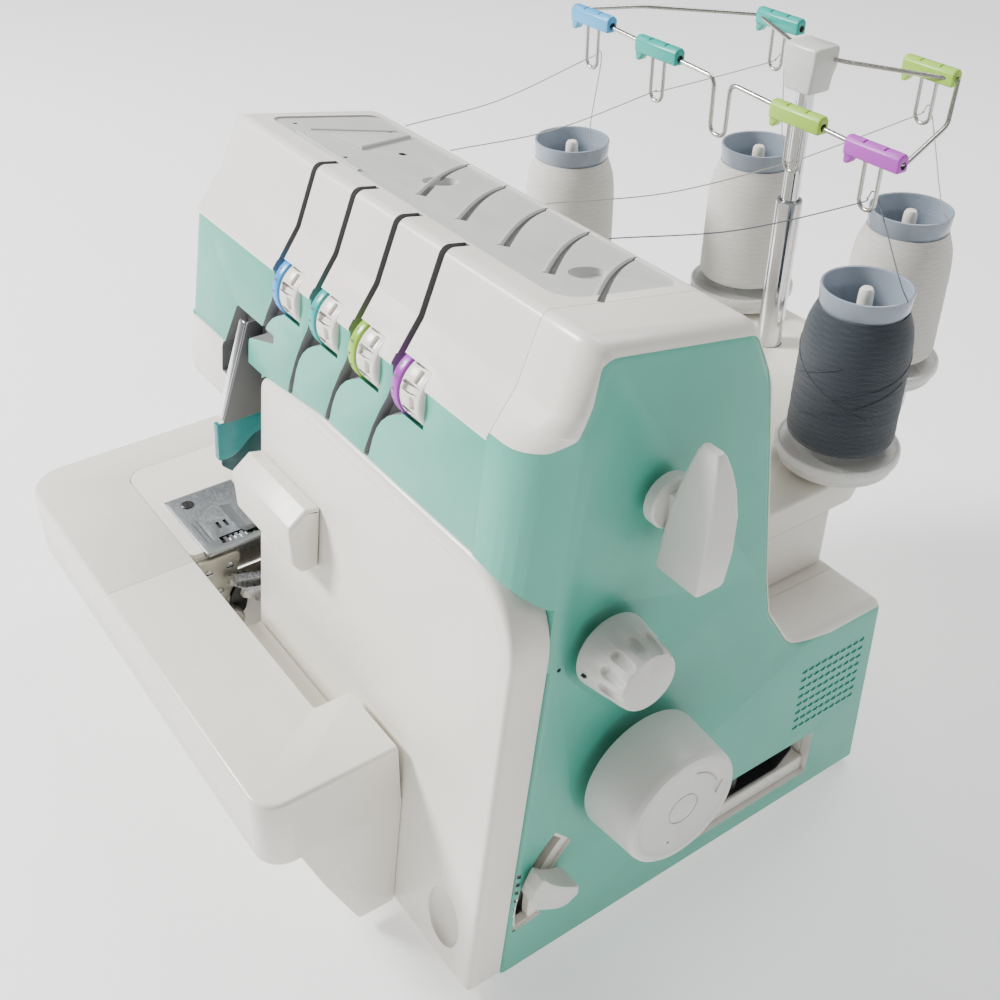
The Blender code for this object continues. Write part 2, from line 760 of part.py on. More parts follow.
def make_dial(index, slot):
    """Tension dial: coloured ring on the left and a notched grip on the right."""
    low = dial_low_x(slot)
    ring_look = material(f"dial_ring_{index}", RING_COLOURS[index - 1], 0.3)
    radius = DIAL_RING_RADIUS
    ring_profile = [
        (4.0, DIAL_RING_WIDTH), (radius - 0.5, DIAL_RING_WIDTH), (radius, DIAL_RING_WIDTH - 0.5),
        (radius, 0.5), (radius - 0.5, 0.0), (4.0, 0.0), (4.0, DIAL_RING_WIDTH),
    ]
    ring = turned(f"dial_ring_{index}", (low, DIAL_Y, DIAL_Z), ring_profile, ring_look, "X", 24)
    grip_low = DIAL_RING_WIDTH + GAP
    grip_high = DIAL_RING_WIDTH + DIAL_GRIP_WIDTH
    grip_look = material("dial_white", WHITE, 0.35)
    radius = DIAL_GRIP_RADIUS
    grip_profile = [
        (0.0, grip_high), (radius - 1.0, grip_high), (radius, grip_high - 1.0),
        (radius, grip_low), (0.0, grip_low),
    ]
    grip = turned(f"dial_{index}", (low, DIAL_Y, DIAL_Z), grip_profile, grip_look, "X", 24)
    return ring, grip


def make_handwheel():
    look = material("wheel_white", WHITE, 0.35)
    front = WHEEL_FRONT_X
    profile = [
        (0.0, front - 1.2), (19.0, front - 1.2), (20.5, front), (WHEEL_FRONT_RADIUS - 2.5, front),
        (WHEEL_FRONT_RADIUS - 0.7, front - 0.7), (WHEEL_FRONT_RADIUS, front - 2.5),
        (WHEEL_REAR_RADIUS, WHEEL_REAR_X + 1.5), (WHEEL_REAR_RADIUS - 1.0, WHEEL_REAR_X),
        (0.0, WHEEL_REAR_X),
    ]
    return turned("handwheel", (0, WHEEL_Y, WHEEL_Z), profile, look, "X", 48)


def make_shaft():
    """Main shaft with its belt pulley, just behind the side wall."""
    look = material("shaft_steel", STEEL, 0.3, 1.0)
    rim = SHAFT_PULLEY_RADIUS
    profile = [
        (0.0, WHEEL_REAR_X - GAP), (SHAFT_RADIUS, WHEEL_REAR_X - GAP), (SHAFT_RADIUS, PULLEY_HIGH_X),
        (rim, PULLEY_HIGH_X), (rim, PULLEY_LOW_X), (SHAFT_RADIUS, PULLEY_LOW_X),
        (SHAFT_RADIUS, -178.0), (0.0, -178.0),
    ]
    return turned("main_shaft", (0, WHEEL_Y, WHEEL_Z), profile, look, "X", 32)


def make_motor_pulley():
    look = material("shaft_steel", STEEL, 0.3, 1.0)
    rim = MOTOR_PULLEY_RADIUS
    profile = [
        (0.0, PULLEY_HIGH_X), (rim, PULLEY_HIGH_X), (rim, PULLEY_LOW_X), (2.5, PULLEY_LOW_X),
        (2.5, -32 + GAP), (0.0, -32 + GAP),
    ]
    return turned("motor_pulley", (0, MOTOR_Y, MOTOR_Z), profile, look, "X", 20)


def make_stitch_dial():
    look = material("dial_white", WHITE, 0.35)
    profile = [
        (0.0, 24.4), (10.6, 24.4), (11.8, 23.2), (12.6, 14.0), (13.4, 9.0), (15.3, 7.5), (15.3, 3.2),
        (14.8, 2.7), (3.6, 2.7), (3.6, -6.0), (0.0, -6.0),
    ]
    dial = turned("stitch_length_dial", (0, STITCH_Y, STITCH_Z), profile, look, "X", 36)
    for step in range(12):
        angle = math.radians(30 * step)
        y = STITCH_Y + 14.4 * math.cos(angle)
        z = STITCH_Z + 14.4 * math.sin(angle)
        cut(dial, cylinder("flute", (8.5, y, z), (30, y, z), 2.6, None, 10))
    return dial


def make_lifter():
    """Presser foot lifter: a round hub with an upright wing standing out from it."""
    look = material("dial_white", WHITE, 0.35)
    profile = [(0.0, 8.0), (9.0, 8.0), (10.0, 7.0), (10.0, 3.0), (4.0, 3.0), (4.0, -6.0), (0.0, -6.0)]
    lifter = turned("presser_lifter", (0, LIFTER_Y, LIFTER_Z), profile, look, "X", 28)
    wing = filleted([(3, 196, 3), (15, 190, 3), (30, 203, 6), (30, 244, 10), (24, 250, 2), (3, 232, 3)])
    join(lifter, plate("wing", [wing], "Y", LIFTER_Y - 3, LIFTER_Y + 9, None))
    return lifter


def from_feed_pivot(points):
    """Points given along and across the lever, counted from its pivot."""
    turn = Matrix.Rotation(-math.radians(FEED_REST), 2)
    pivot = Vector(FEED_PIVOT)
    return [tuple(pivot + Vector(point) @ turn) for point in points]


def make_feed_lever():
    """Differential feed lever: a beak-shaped handle on an arm behind the arc slot."""
    look = material("dial_white", WHITE, 0.35)
    handle = filleted([(58, -11, 4), (58, 11, 4), (44, 12, 5), (32, 1, 2), (32, -4, 2), (44, -12, 6)], 3)
    lever = plate("feed_lever", [from_feed_pivot(handle)], "X", 1.0, 11.0, look)
    neck = [(48, -3.5), (53.5, -3.5), (53.5, 3.5), (48, 3.5)]
    join(lever, plate("neck", [from_feed_pivot(neck)], "X", -8.5, 2.0, None))
    arm = filleted([(-5, -5, 4), (53.5, -3.5), (53.5, 3.5), (-5, 5, 4)], 3)
    join(lever, plate("arm", [from_feed_pivot(arm)], "X", -9.0, -6.0, None))
    set_pivot(lever, (0, *FEED_PIVOT))
    return lever


def make_switch():
    look = material("switch_black", BLACK, 0.35)
    rocker = filleted([
        (-9.5, 107.5), (-9.5, 136.5), (-6.0, 136.5), (-7.5, 122.0), (-6.0, 107.5),
    ])
    switch = plate("power_switch", [rocker], "Z", SWITCH_Z - 6, SWITCH_Z + 6, look)
    set_pivot(switch, (-9.5, SWITCH_Y, SWITCH_Z))
    return switch


def make_needle_bar():
    look = material("shaft_steel", STEEL, 0.3, 1.0)
    low = (NEEDLE_BAR_X, NEEDLE_BAR_Y, 151)
    high = (NEEDLE_BAR_X, NEEDLE_BAR_Y, 224)
    return cylinder("needle_bar", low, high, 4.0, look, 20)


def make_needle_clamp():
    look = material("clamp_steel", CAST, 0.3, 1.0)
    low = (NEEDLE_BAR_X - 6.5, NEEDLES_Y - 4, 137)
    high = (NEEDLE_BAR_X + 6.5, NEEDLE_BAR_Y + 5, 151 - GAP)
    clamp = box("needle_clamp", low, high, look, 1.0, 1)
    for x in NEEDLES_X:
        join(clamp, cylinder("needle", (x, NEEDLES_Y, 109), (x, NEEDLES_Y, 140), 0.9, None, 8))
        join(clamp, cylinder("point", (x, NEEDLES_Y, 104), (x, NEEDLES_Y, 109.5), 0.2, None, 8, 0.9))
    return clamp


def make_presser_bar():
    look = material("shaft_steel", STEEL, 0.3, 1.0)
    low = (NEEDLE_BAR_X, PRESSER_BAR_Y, 112 + GAP)
    high = (NEEDLE_BAR_X, PRESSER_BAR_Y, 244)
    return cylinder("presser_bar", low, high, 3.2, look, 16)


def make_presser_foot():
    look = material("clamp_steel", CAST, 0.3, 1.0)
    sole_z = BED_Z + 0.4
    sole = [(0, sole_z + 4), (4, sole_z), (41, sole_z), (43, sole_z + 3), (5, sole_z + 3)]
    foot = plate("presser_foot", [sole], "X", -240.0, -219.0, look)
    join(foot, box("shank", (-232, PRESSER_BAR_Y - 4, sole_z + 2), (-224, PRESSER_BAR_Y + 4, 112), None))
    cut(foot, box("needle_slot", (-232.6, NEEDLES_Y - 2.5, 90), (-223.4, NEEDLES_Y + 2.5, 100), None))
    return foot


def make_looper(name, low_x, high_x, reach):
    """Rocking arm under the bed, with its hook pointing forward and up."""
    look = material("looper_steel", STEEL, 0.3, 1.0)
    y, z = LOOPER_PIVOT
    outline = filleted([
        (y - 7, z - 7, 5), (y + 7, z - 7, 5), (y + 7, z + 7, 5), (y - 14, z + 12, 4),
        (y - 26, reach - 2), (y - 46, reach + 4), (y - 47, reach + 1), (y - 34, reach - 9, 3),
    ])
    looper = plate(name, [outline], "X", low_x, high_x, look)
    set_pivot(looper, (low_x, *LOOPER_PIVOT))
    return looper


def make_feed_dog():
    look = material("clamp_steel", CAST, 0.3, 1.0)
    dog = box("feed_dog", (-221.5, -7, 82), (-217.5, 10, BED_Z - 0.4), look)
    for row in range(6):
        y = -5.4 + row * 2.8
        cut(dog, box("tooth_gap", (-223, y, BED_Z - 1.4), (-216, y + 1.2, BED_Z + 1), None))
    return dog


def cover_block(name, grow=0.0, look=None):
    """Leaning slab with the looper cover's outline, grown on every side."""
    left = COVER_LEFT - grow
    right = -0.2 + grow * 4
    top = COVER_TOP_Z + grow
    outline = filleted([
        (left, 0.3 - grow * 4, 3), (right, 0.3 - grow * 4, 3), (right, top, 32),
        (left + 50, top), (left, top - 6, 6),
    ], 6)
    block = plate(name, [outline], "Y", -30, 45, look)
    sheet = plate("lean", [cover_section(grow)], "X", left - 10, right + 10, None)
    combine(block, sheet, "INTERSECT")
    return block


def cover_section(grow=0.0):
    low_z = -5.0
    high_z = COVER_TOP_Z + 10
    return [
        (cover_face(low_z) - grow * 20, low_z),
        (cover_face(low_z) + COVER_DEPTH + grow * 0.5, low_z),
        (cover_face(high_z) + COVER_DEPTH + grow * 0.5, high_z),
        (cover_face(high_z) - grow * 20, high_z),
    ]


def make_cover():
    """Looper cover with a round top corner, open at its back."""
    look = material("cover_white", WHITE, 0.35)
    cover = cover_block("front_cover", 0.0, look)
    inside = [(y + 2.5, z) for y, z in cover_section()]
    hollow = plate("hollow", [inside], "X", COVER_LEFT + 3, -4.0, None)
    keep = box("keep", (-200, -40, 4), (10, 60, COVER_TOP_Z - 38), None)
    combine(hollow, keep, "INTERSECT")
    cut(cover, hollow)
    return cover


def make_chip_guard():
    """Raised guard block on the left of the cover's face."""
    look = material("cover_white", WHITE, 0.35)
    outline = [
        (cover_face(131) - GAP, 131), (cover_face(160) - GAP, 160), (-4, 161.5), (-12.7, 155),
        (-12.4, 136.5), (-8.5, 131),
    ]
    guard = plate("chip_guard", [outline], "X", COVER_LEFT + 3, -131.0, look)
    soften(guard, 1.5, 2)
    return guard


def make_table():
    """Removable extension table: a deep tray upside down, with a foot at its right end."""
    look = material("table_white", WHITE, 0.35)
    inner_front = BED_FRONT - GAP
    outline = filleted([
        (TABLE_LEFT, TABLE_BACK, 3), (TABLE_LEFT, TABLE_FRONT, 20), (TABLE_RIGHT, TABLE_FRONT, 12),
        (TABLE_RIGHT, cover_face(TABLE_SKIRT_Z) - GAP), (-95, cover_face(TABLE_SKIRT_Z) - GAP, 3),
        (-95, inner_front, 4), (BED_LEFT - GAP, inner_front, 10),
        (BED_LEFT - GAP, TABLE_BACK, 2),
    ], 5)
    table = plate("extension_table", [outline], "Z", TABLE_SKIRT_Z, BED_Z, look)
    room = filleted([
        (TABLE_LEFT + 3, TABLE_BACK - 3, 2), (TABLE_LEFT + 3, TABLE_FRONT + 3, 17),
        (TABLE_RIGHT - 3, TABLE_FRONT + 3, 9), (TABLE_RIGHT - 3, -12), (-98, -12),
        (-98, inner_front - 3), (BED_LEFT - GAP - 3, inner_front - 3, 8),
        (BED_LEFT - GAP - 3, TABLE_BACK - 3, 1),
    ], 3)
    cut(table, plate("room", [room], "Z", TABLE_SKIRT_Z - 5, BED_Z - 3, None))
    foot = [
        (-56, TABLE_SKIRT_Z + 2), (-46, 34), (-32, 2), (-19, 2), (cover_face(58) - 2, TABLE_SKIRT_Z + 2),
    ]
    join(table, plate("foot", [foot], "X", TABLE_RIGHT - 3, TABLE_RIGHT, None))
    return table


def make_eye_guard():
    """Tinted bent shield below the face plate."""
    look = material("tinted_clear", TURQUOISE, 0.15)
    front = [(-7.5, 168), (-11, 136), (-8, 128), (-6, 129.5), (-8.8, 136.5), (-5.3, 168)]
    guard = plate("eye_guard", [front], "X", -222.0, -203.0, look)
    side = filleted([(-7, 167.5), (-10.4, 136), (-7.4, 129, 2), (8, 132, 6), (14, 146, 6), (14, 167.5, 3)], 3)
    join(guard, plate("side", [side], "X", -205.0, -203.0, None))
    set_pivot(guard, (-212, *GUARD_PIVOT))
    return guard


# ----------------------------------------------------------------- threads

def smooth_route(stops, steps=5):
    """Points along a smooth curve through the stops."""
    stops = [Vector(stop) for stop in stops]
    ends = [stops[0] * 2 - stops[1], *stops, stops[-1] * 2 - stops[-2]]
    route = []
    for i in range(1, len(ends) - 2):
        a, b, c, d = ends[i - 1:i + 3]
        for step in range(steps):
            t = step / steps
            route.append(0.5 * (2 * b + (c - a) * t + (2 * a - 5 * b + 4 * c - d) * t * t
                                + (3 * b - a - 3 * c + d) * t * t * t))
    return route + [stops[-1]]


def make_thread(index, cone, clips, hole):
    """Thread from the winding through its guide loops to the top of the machine."""
    look = material(f"thread_{index}", GREY if index == 4 else WHITE, 0.8)
    x, y = cone
    stops = [(x + 20.6, y, CONE_TOP_Z + 1.0), (x + 15.0, y - 1.0, CONE_TOP_Z + 9.0)]
    for clip in clips:
        loop = Vector(clip) + Vector((0, 0, -LOOP_DROP + 5.0))
        stops += [loop + Vector((0, 6, -1)), loop, loop + Vector((0, -6, -1))]
    stops += [(Vector(hole) + stops[-1]) / 2 + Vector((0, 0, -4)), hole]
    return tube(f"thread_{index}", smooth_route(stops, 4), THREAD_RADIUS, look, 1)


# ------------------------------------------------------------------- build

clear_scene()
PARTS = new_collection("serger_overlock_machine")
CUTTERS = new_collection("cutters")
MACHINE = bpy.data.objects.new("machine_origin", None)
PARTS.objects.link(MACHINE)
MACHINE.location = Vector(ORIGIN) * MM

make_base()
make_frame()
make_end_cap()
make_end_trim()
make_upper_housing()
make_front_panel()
make_head()
make_rear_housing()
make_bed()
make_cloth_plate()
make_needle_plate()
make_face_plate()
make_inlet()
make_motor()
make_belt()
make_lamp()

make_spool_stand()
for number, spot in enumerate(CONES, start=1):
    make_spool_pin(number, *spot)
    make_cone(number, *spot)
make_pole()
make_pole_inner()
make_guide_bar()

for number, slot_x in enumerate(DIAL_SLOTS, start=1):
    make_dial(number, slot_x)
make_handwheel()
make_shaft()
make_motor_pulley()
make_stitch_dial()
make_lifter()
make_feed_lever()
make_switch()

make_needle_bar()
make_needle_clamp()
make_presser_bar()
make_presser_foot()
make_looper("lower_looper", -211.0, -206.0, 74.0)
make_looper("upper_looper", -202.0, -197.0, 80.0)
make_looper("upper_knife", -194.0, -191.0, 77.0)
make_feed_dog()

blue, turquoise, lime, violet, rear_left, rear_right = clip_places()
thread_paths = ((blue,), (rear_left, turquoise), (rear_right, lime), (violet,))
for number, (spot, path, hole_x) in enumerate(zip(CONES, thread_paths, THREAD_HOLES), start=1):
    make_thread(number, spot, path, (hole_x, 99.0, 275.2))

make_cover()
make_chip_guard()
make_table()
make_eye_guard()
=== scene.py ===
"""Looks of the serger overlock machine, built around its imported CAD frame.

Shapes are laid out in the machine frame in millimetres: x = 0 is the right side wall and
x falls to the left, y = 0 is the front bottom edge of that wall and y rises to the rear,
z = 0 is the housing's bottom edge. PLACE carries that frame into the row frame in metres.
"""

import math
import random

import bmesh
import bpy
from mathutils import Matrix, Vector


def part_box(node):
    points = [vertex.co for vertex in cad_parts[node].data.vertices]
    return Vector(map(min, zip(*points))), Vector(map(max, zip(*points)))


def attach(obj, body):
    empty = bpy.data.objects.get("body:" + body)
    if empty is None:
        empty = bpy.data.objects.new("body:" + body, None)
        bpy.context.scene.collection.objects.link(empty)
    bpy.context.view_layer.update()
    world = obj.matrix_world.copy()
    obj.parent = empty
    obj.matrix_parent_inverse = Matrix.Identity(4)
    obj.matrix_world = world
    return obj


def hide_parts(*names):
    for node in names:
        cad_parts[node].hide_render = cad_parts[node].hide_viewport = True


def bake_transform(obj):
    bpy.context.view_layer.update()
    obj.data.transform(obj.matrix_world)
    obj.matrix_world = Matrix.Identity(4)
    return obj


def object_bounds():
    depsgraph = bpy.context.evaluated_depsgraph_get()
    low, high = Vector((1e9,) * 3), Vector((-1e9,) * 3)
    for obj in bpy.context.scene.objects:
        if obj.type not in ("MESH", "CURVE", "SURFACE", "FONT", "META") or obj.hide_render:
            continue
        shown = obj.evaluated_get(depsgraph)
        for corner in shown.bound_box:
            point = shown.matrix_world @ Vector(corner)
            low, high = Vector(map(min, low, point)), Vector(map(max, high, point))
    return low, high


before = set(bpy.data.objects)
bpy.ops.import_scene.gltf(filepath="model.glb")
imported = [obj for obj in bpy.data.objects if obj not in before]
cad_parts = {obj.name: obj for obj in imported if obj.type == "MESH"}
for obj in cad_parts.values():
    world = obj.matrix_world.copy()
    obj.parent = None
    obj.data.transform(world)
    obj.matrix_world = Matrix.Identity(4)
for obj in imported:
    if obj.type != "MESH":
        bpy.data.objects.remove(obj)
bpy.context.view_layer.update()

MM = 0.001
WHEEL_CENTRE = (63.8, 90.6)    # (y, z) of the handwheel's axis
WHEEL_REAR_X = 4.5
SEAM_X = -28.5                 # seam between the end cap and the middle housings
GAP = 0.3
LEAN = 0.1157                  # front faces lean back this much per mm of height
COVER_FACE_Y = -15.7
COVER_LEFT = -187.0
COVER_TOP_Z = 200.0
COVER_DEPTH = 16.0             # from the cover's face to its back edge
COVER_TRAVEL = 5.0             # slide to the right that unlatches the cover
BED_Z = 92.0
NOSE_RIGHT_X = -213.0          # right edge of the white nose of the head
BAND_LOW_Z = 194.5             # bottom and top of the coloured band on the front
BAND_TOP_Z = 244.8
THROUGH = -12                  # x of the inner and outer ends of cutters in the side wall
BEYOND = 8
DIAL_SLOTS = (-174.3, -144.4, -114.5, -84.6)
DIAL_CENTRE = (24.0, 238.0)    # (y, z)
STITCH_CENTRE = (44.7, 162.5)
LIFTER_CENTRE = (64.0, 221.0)
FEED_PIVOT = (63.0, 29.0)
FEED_REST = 158.0              # the feed lever's direction from its pivot, in degrees
FEED_SWEEP = 26.0              # half the length of its slot, in degrees
CONES = ((-246.0, 218.0), (-187.0, 293.0), (-89.0, 293.0), (-47.0, 216.0))
DARK_CONE = 4
POLE = (-142.0, 270.0)
GUIDE_LEFT = Vector((-246.0, 216.0, 299.0))
GUIDE_RIGHT = Vector((-42.0, 216.0, 286.5))
GUIDE_REAR = (294.0, 295.5)    # (y, z)

MINT = (0.078, 0.425, 0.315)
WHITE = (0.850, 0.812, 0.740)
TOP_GREY = (0.520, 0.520, 0.505)
CREAM = (0.830, 0.800, 0.720)
SHADE = (0.120, 0.115, 0.115)
BLACK = (0.022, 0.022, 0.024)
COLOUR_SLOTS = ("ring_blue", "ring_turquoise", "ring_lime", "ring_violet")
RINGS = ((0.020, 0.300, 0.760), (0.000, 0.400, 0.360), (0.300, 0.560, 0.030), (0.380, 0.030, 0.480))
CLIPS = ((0.060, 0.400, 0.760), (0.000, 0.400, 0.330), (0.360, 0.640, 0.060), (0.480, 0.060, 0.540))


# ------------------------------------------------------------------ materials

def node(look, kind, values=None, **settings):
    """Add a shader node, its input sockets set by name or index."""
    made = look.node_tree.nodes.new(kind)
    for key, value in settings.items():
        setattr(made, key, value)
    for key, value in (values or {}).items():
        if isinstance(value, bpy.types.NodeSocket):
            look.node_tree.links.new(value, made.inputs[key])
        else:
            made.inputs[key].default_value = value
    return made


def maths(look, operation, *values):
    """Arithmetic on sockets or numbers."""
    return node(look, "ShaderNodeMath", dict(enumerate(values)), operation=operation).outputs[0]


def shader_of(look):
    """The material's Principled shader."""
    return look.node_tree.nodes["Principled BSDF"]


def join_socket(look, output, name):
    """Drive a shader input from another node."""
    look.node_tree.links.new(output, shader_of(look).inputs[name])


def uniform(look, values):
    """Set shader sockets that are the same all over the piece."""
    for name, value in values.items():
        shader_of(look).inputs[name].default_value = value


def blank(name, roughness, metallic=0.0):
    """New material with nothing but its gloss set."""
    look = bpy.data.materials.new(name)
    look.use_nodes = True
    uniform(look, {"Metallic": metallic, "Roughness": roughness})
    return look


def scaled(colour, factor, lift=0.0):
    """Colour made lighter or darker."""
    return tuple(min(1.0, c * factor + lift) for c in colour)


def place_vector(look, stretch=(1.0, 1.0, 1.0)):
    """Position on the piece in metres, stretched along its axes."""
    source = node(look, "ShaderNodeTexCoord").outputs["Object"]
    return node(look, "ShaderNodeMapping", {"Vector": source, "Scale": stretch}).outputs[0]


def noise(look, where, scale, detail=3.0, rough=0.55):
    """Cloudy value whose patches get smaller as scale grows."""
    return node(look, "ShaderNodeTexNoise", {
        "Vector": where, "Scale": scale, "Detail": detail, "Roughness": rough,
    }).outputs["Fac"]


def spread(look, source, low, high, from_low=0.3, from_high=0.7):
    """Value stretched from one range to another and held at its ends."""
    return node(look, "ShaderNodeMapRange", {
        "Value": source, "From Min": from_low, "From Max": from_high, "To Min": low, "To Max": high,
    }).outputs["Result"]


def mixed(look, factor, first, second):
    """Colour between two, each a socket or a fixed colour."""
    made = node(look, "ShaderNodeMix", data_type="RGBA")
    for socket, value in ((0, factor), (6, first), (7, second)):
        if isinstance(value, bpy.types.NodeSocket):
            look.node_tree.links.new(value, made.inputs[socket])
        else:
            made.inputs[socket].default_value = value if socket == 0 else (*value, 1.0)
    return made.outputs[2]


def bumped(look, height, strength, distance, before=None):
    """Surface direction disturbed by a height, on top of an earlier one."""
    values = {"Height": height, "Strength": strength, "Distance": distance}
    if before:
        values["Normal"] = before
    return node(look, "ShaderNodeBump", values).outputs["Normal"]


def edge_highlight_mask(look, low=0.515, high=0.60):
    """1 along convex edges, 0 elsewhere: where plastic gets its painted edge highlight."""
    point = node(look, "ShaderNodeNewGeometry").outputs["Pointiness"]
    return spread(look, point, 0.0, 1.0, low, high)


def plastic(name, colour, roughness=0.34, grain=0.05, tint=0.93, coat=0.0):
    """Moulded plastic: faint colour drift, orange-peel skin, uneven gloss, and convex edges lightened as a
    painted highlight.
    """
    look = blank(name, roughness)
    where = place_vector(look)
    drift = spread(look, noise(look, where, 22.0), 0.0, 1.0)
    base = mixed(look, drift, colour, scaled(colour, tint))
    specks = spread(look, noise(look, where, 420.0, 2.0), 0.0, 0.22, 0.62, 0.8)
    base = mixed(look, specks, base, scaled(colour, 0.8))
    # Convex edges lightened towards a paler colour: a painted highlight.
    painted_edge_highlight = maths(look, "MULTIPLY", edge_highlight_mask(look), 0.3)
    base = mixed(look, painted_edge_highlight, base, scaled(colour, 1.18, 0.03))
    join_socket(look, base, "Base Color")
    gloss = spread(look, noise(look, where, 65.0), roughness - 0.06, roughness + 0.09)
    join_socket(look, gloss, "Roughness")
    skin = bumped(look, noise(look, where, 900.0, 2.0), grain, 0.0004)
    skin = bumped(look, noise(look, where, 70.0, 2.0), 0.05, 0.0012, skin)
    join_socket(look, skin, "Normal")
    if coat:
        uniform(look, {"Coat Weight": coat, "Coat Roughness": 0.15})
    return look


def metal(name, colour, roughness=0.3, stretch=(1.0, 1.0, 1.0), scratch=0.12):
    """Metal with fine drawn lines, uneven polish and dulled patches."""
    look = blank(name, roughness, 1.0)
    where = place_vector(look, stretch)
    lines = noise(look, where, 900.0, 3.0)
    cloud = noise(look, place_vector(look), 45.0)
    base = mixed(look, spread(look, cloud, 0.0, 1.0), colour, scaled(colour, 0.8))
    base = mixed(look, spread(look, lines, 0.0, 0.5), base, scaled(colour, 0.72))
    join_socket(look, base, "Base Color")
    dull = spread(look, lines, max(0.04, roughness - 0.08), roughness + 0.12)
    join_socket(look, dull, "Roughness")
    join_socket(look, bumped(look, lines, scratch, 0.0002), "Normal")
    return look


def cast(name, colour):
    """Cast metal with a pebbled skin."""
    look = blank(name, 0.5, 0.8)
    where = place_vector(look)
    grain = noise(look, where, 500.0, 4.0)
    cloud = spread(look, noise(look, where, 40.0), 0.0, 1.0)
    base = mixed(look, cloud, colour, scaled(colour, 0.75))
    join_socket(look, base, "Base Color")
    join_socket(look, spread(look, grain, 0.42, 0.62), "Roughness")
    join_socket(look, bumped(look, grain, 0.3, 0.0004), "Normal")
    return look


def clear_plastic(name, colour, share, roughness=0.2):
    """Milky or tinted see-through plastic."""
    look = plastic(name, colour, roughness, 0.03)
    uniform(look, {"Transmission Weight": share, "IOR": 1.46})
    return look


def winding(name, colour, centre, crossed):
    """Thread laid round a cone: fine strands with crossing diagonals."""
    look = blank(name, 0.85)
    where = node(look, "ShaderNodeSeparateXYZ", {0: place_vector(look)})
    across = maths(look, "SUBTRACT", where.outputs[0], centre.x)
    along = maths(look, "SUBTRACT", where.outputs[1], centre.y)
    angle = maths(look, "ARCTAN2", along, across)

    def strands(per_metre, turns, sharp):
        climb = maths(look, "MULTIPLY", where.outputs[2], per_metre * 2 * math.pi)
        twist = maths(look, "MULTIPLY", angle, turns)
        wave = maths(look, "SINE", maths(look, "ADD", climb, twist))
        return spread(look, wave, 0.0, 1.0, -sharp, 1.0)

    fine = strands(1500.0, 3.0, 1.0)
    rising = strands(420.0, 7.0, 0.1)
    falling = strands(360.0, -7.0, 0.1)
    crossing = maths(look, "ADD", rising, falling)
    fuzz = noise(look, place_vector(look, (1.0, 1.0, 6.0)), 700.0, 3.0)
    dark = scaled(colour, 0.72)
    base = mixed(look, fine, dark, colour)
    share = maths(look, "MULTIPLY", crossing, crossed)
    base = mixed(look, share, base, scaled(colour, 1.25, 0.015))
    base = mixed(look, spread(look, fuzz, 0.0, 0.35), base, dark)
    join_socket(look, base, "Base Color")
    join_socket(look, spread(look, fuzz, 0.74, 0.92), "Roughness")
    skin = bumped(look, fine, 0.5, 0.0003)
    skin = bumped(look, crossing, 0.12, 0.0002, skin)
    join_socket(look, bumped(look, fuzz, 0.3, 0.0004, skin), "Normal")
    uniform(look, {"Sheen Weight": 0.25})
    return look


def guard_plastic(name, colour):
    """Guard moulded in tinted clear plastic, clouded by fine scuffs."""
    look = clear_plastic(name, colour, 0.2, 0.16)
    where = place_vector(look, (1.0, 1.0, 0.5))
    join_socket(look, bumped(look, noise(look, where, 230.0, 2.0), 0.5, 0.0006), "Normal")
    return look


# -------------------------------------------------------------------- shapes

def filleted(corners, count=5):
    """Outline from (a, b) or (a, b, radius) corners, the radii turned into arcs."""
    outline = []
    for i, corner in enumerate(corners):
        here = Vector(corner[:2])
        radius = corner[2] if len(corner) > 2 else 0.0
        if not radius:
            outline.append(tuple(here))
            continue
        before = (Vector(corners[i - 1][:2]) - here).normalized()
        after = (Vector(corners[(i + 1) % len(corners)][:2]) - here).normalized()
        half = before.angle(after) / 2
        reach = radius / math.tan(half)
        centre = here + (before + after).normalized() * radius / math.sin(half)
        first = here + before * reach - centre
        sweep = first.angle_signed(here + after * reach - centre)
        for step in range(count + 1):
            outline.append(tuple(centre + Matrix.Rotation(-sweep * step / count, 2) @ first))
    return outline


def rectangle(low, high, radius=0.0, count=3):
    """Outline of a rectangle between two corners, its own corners rounded."""
    (left, bottom), (right, top) = low, high
    corners = ((left, bottom), (right, bottom), (right, top), (left, top))
    return filleted([(*corner, radius) for corner in corners], count)


def turn_of(outline):
    """+1 for a counter-clockwise outline, -1 for a clockwise one."""
    area = sum(a[0] * b[1] - b[0] * a[1] for a, b in zip(outline, outline[1:] + outline[:1]))
    return 1.0 if area > 0 else -1.0


def rounding_steps(steps):
    """For each step of a quarter round: how far in it is, and how far from its end."""
    for step in range(steps + 1):
        t = math.radians(90 * step / steps)
        yield 1 - math.cos(t), 1 - math.sin(t)


def inset(outline, distance):
    """Outline moved inward by a distance, corner by corner."""
    side = turn_of(outline)
    moved = []
    for i, here in enumerate(outline):
        here = Vector(here)
        before = (here - Vector(outline[i - 1])).normalized()
        after = (Vector(outline[(i + 1) % len(outline)]) - here).normalized()
        first = Vector((-before.y, before.x)) * side
        second = Vector((-after.y, after.x)) * side
        middle = first + second
        middle = middle / max(0.35, middle.length_squared / 2)
        moved.append(tuple(here + middle * distance))
    return moved


def lifted(outline, axis, place):
    """2D outline as 3D points at a place along an axis."""
    if axis == "X":
        return [(place, a, b) for a, b in outline]
    if axis == "Y":
        return [(a, place, b) for a, b in outline]
    return [(a, b, place) for a, b in outline]


def mesh_object(name, points, faces, look=None):
    """New object from points and faces, its normals turned outward."""
    mesh = bpy.data.meshes.new(name)
    mesh.from_pydata([tuple(p) for p in points], [], faces)
    thing = bpy.data.objects.new(name, mesh)
    bpy.context.scene.collection.objects.link(thing)
    shape = bmesh.new()
    shape.from_mesh(mesh)
    bmesh.ops.remove_doubles(shape, verts=shape.verts, dist=0.0005)
    bmesh.ops.recalc_face_normals(shape, faces=shape.faces)
    shape.to_mesh(mesh)
    shape.free()
    if look:
        mesh.materials.append(look)
    return thing


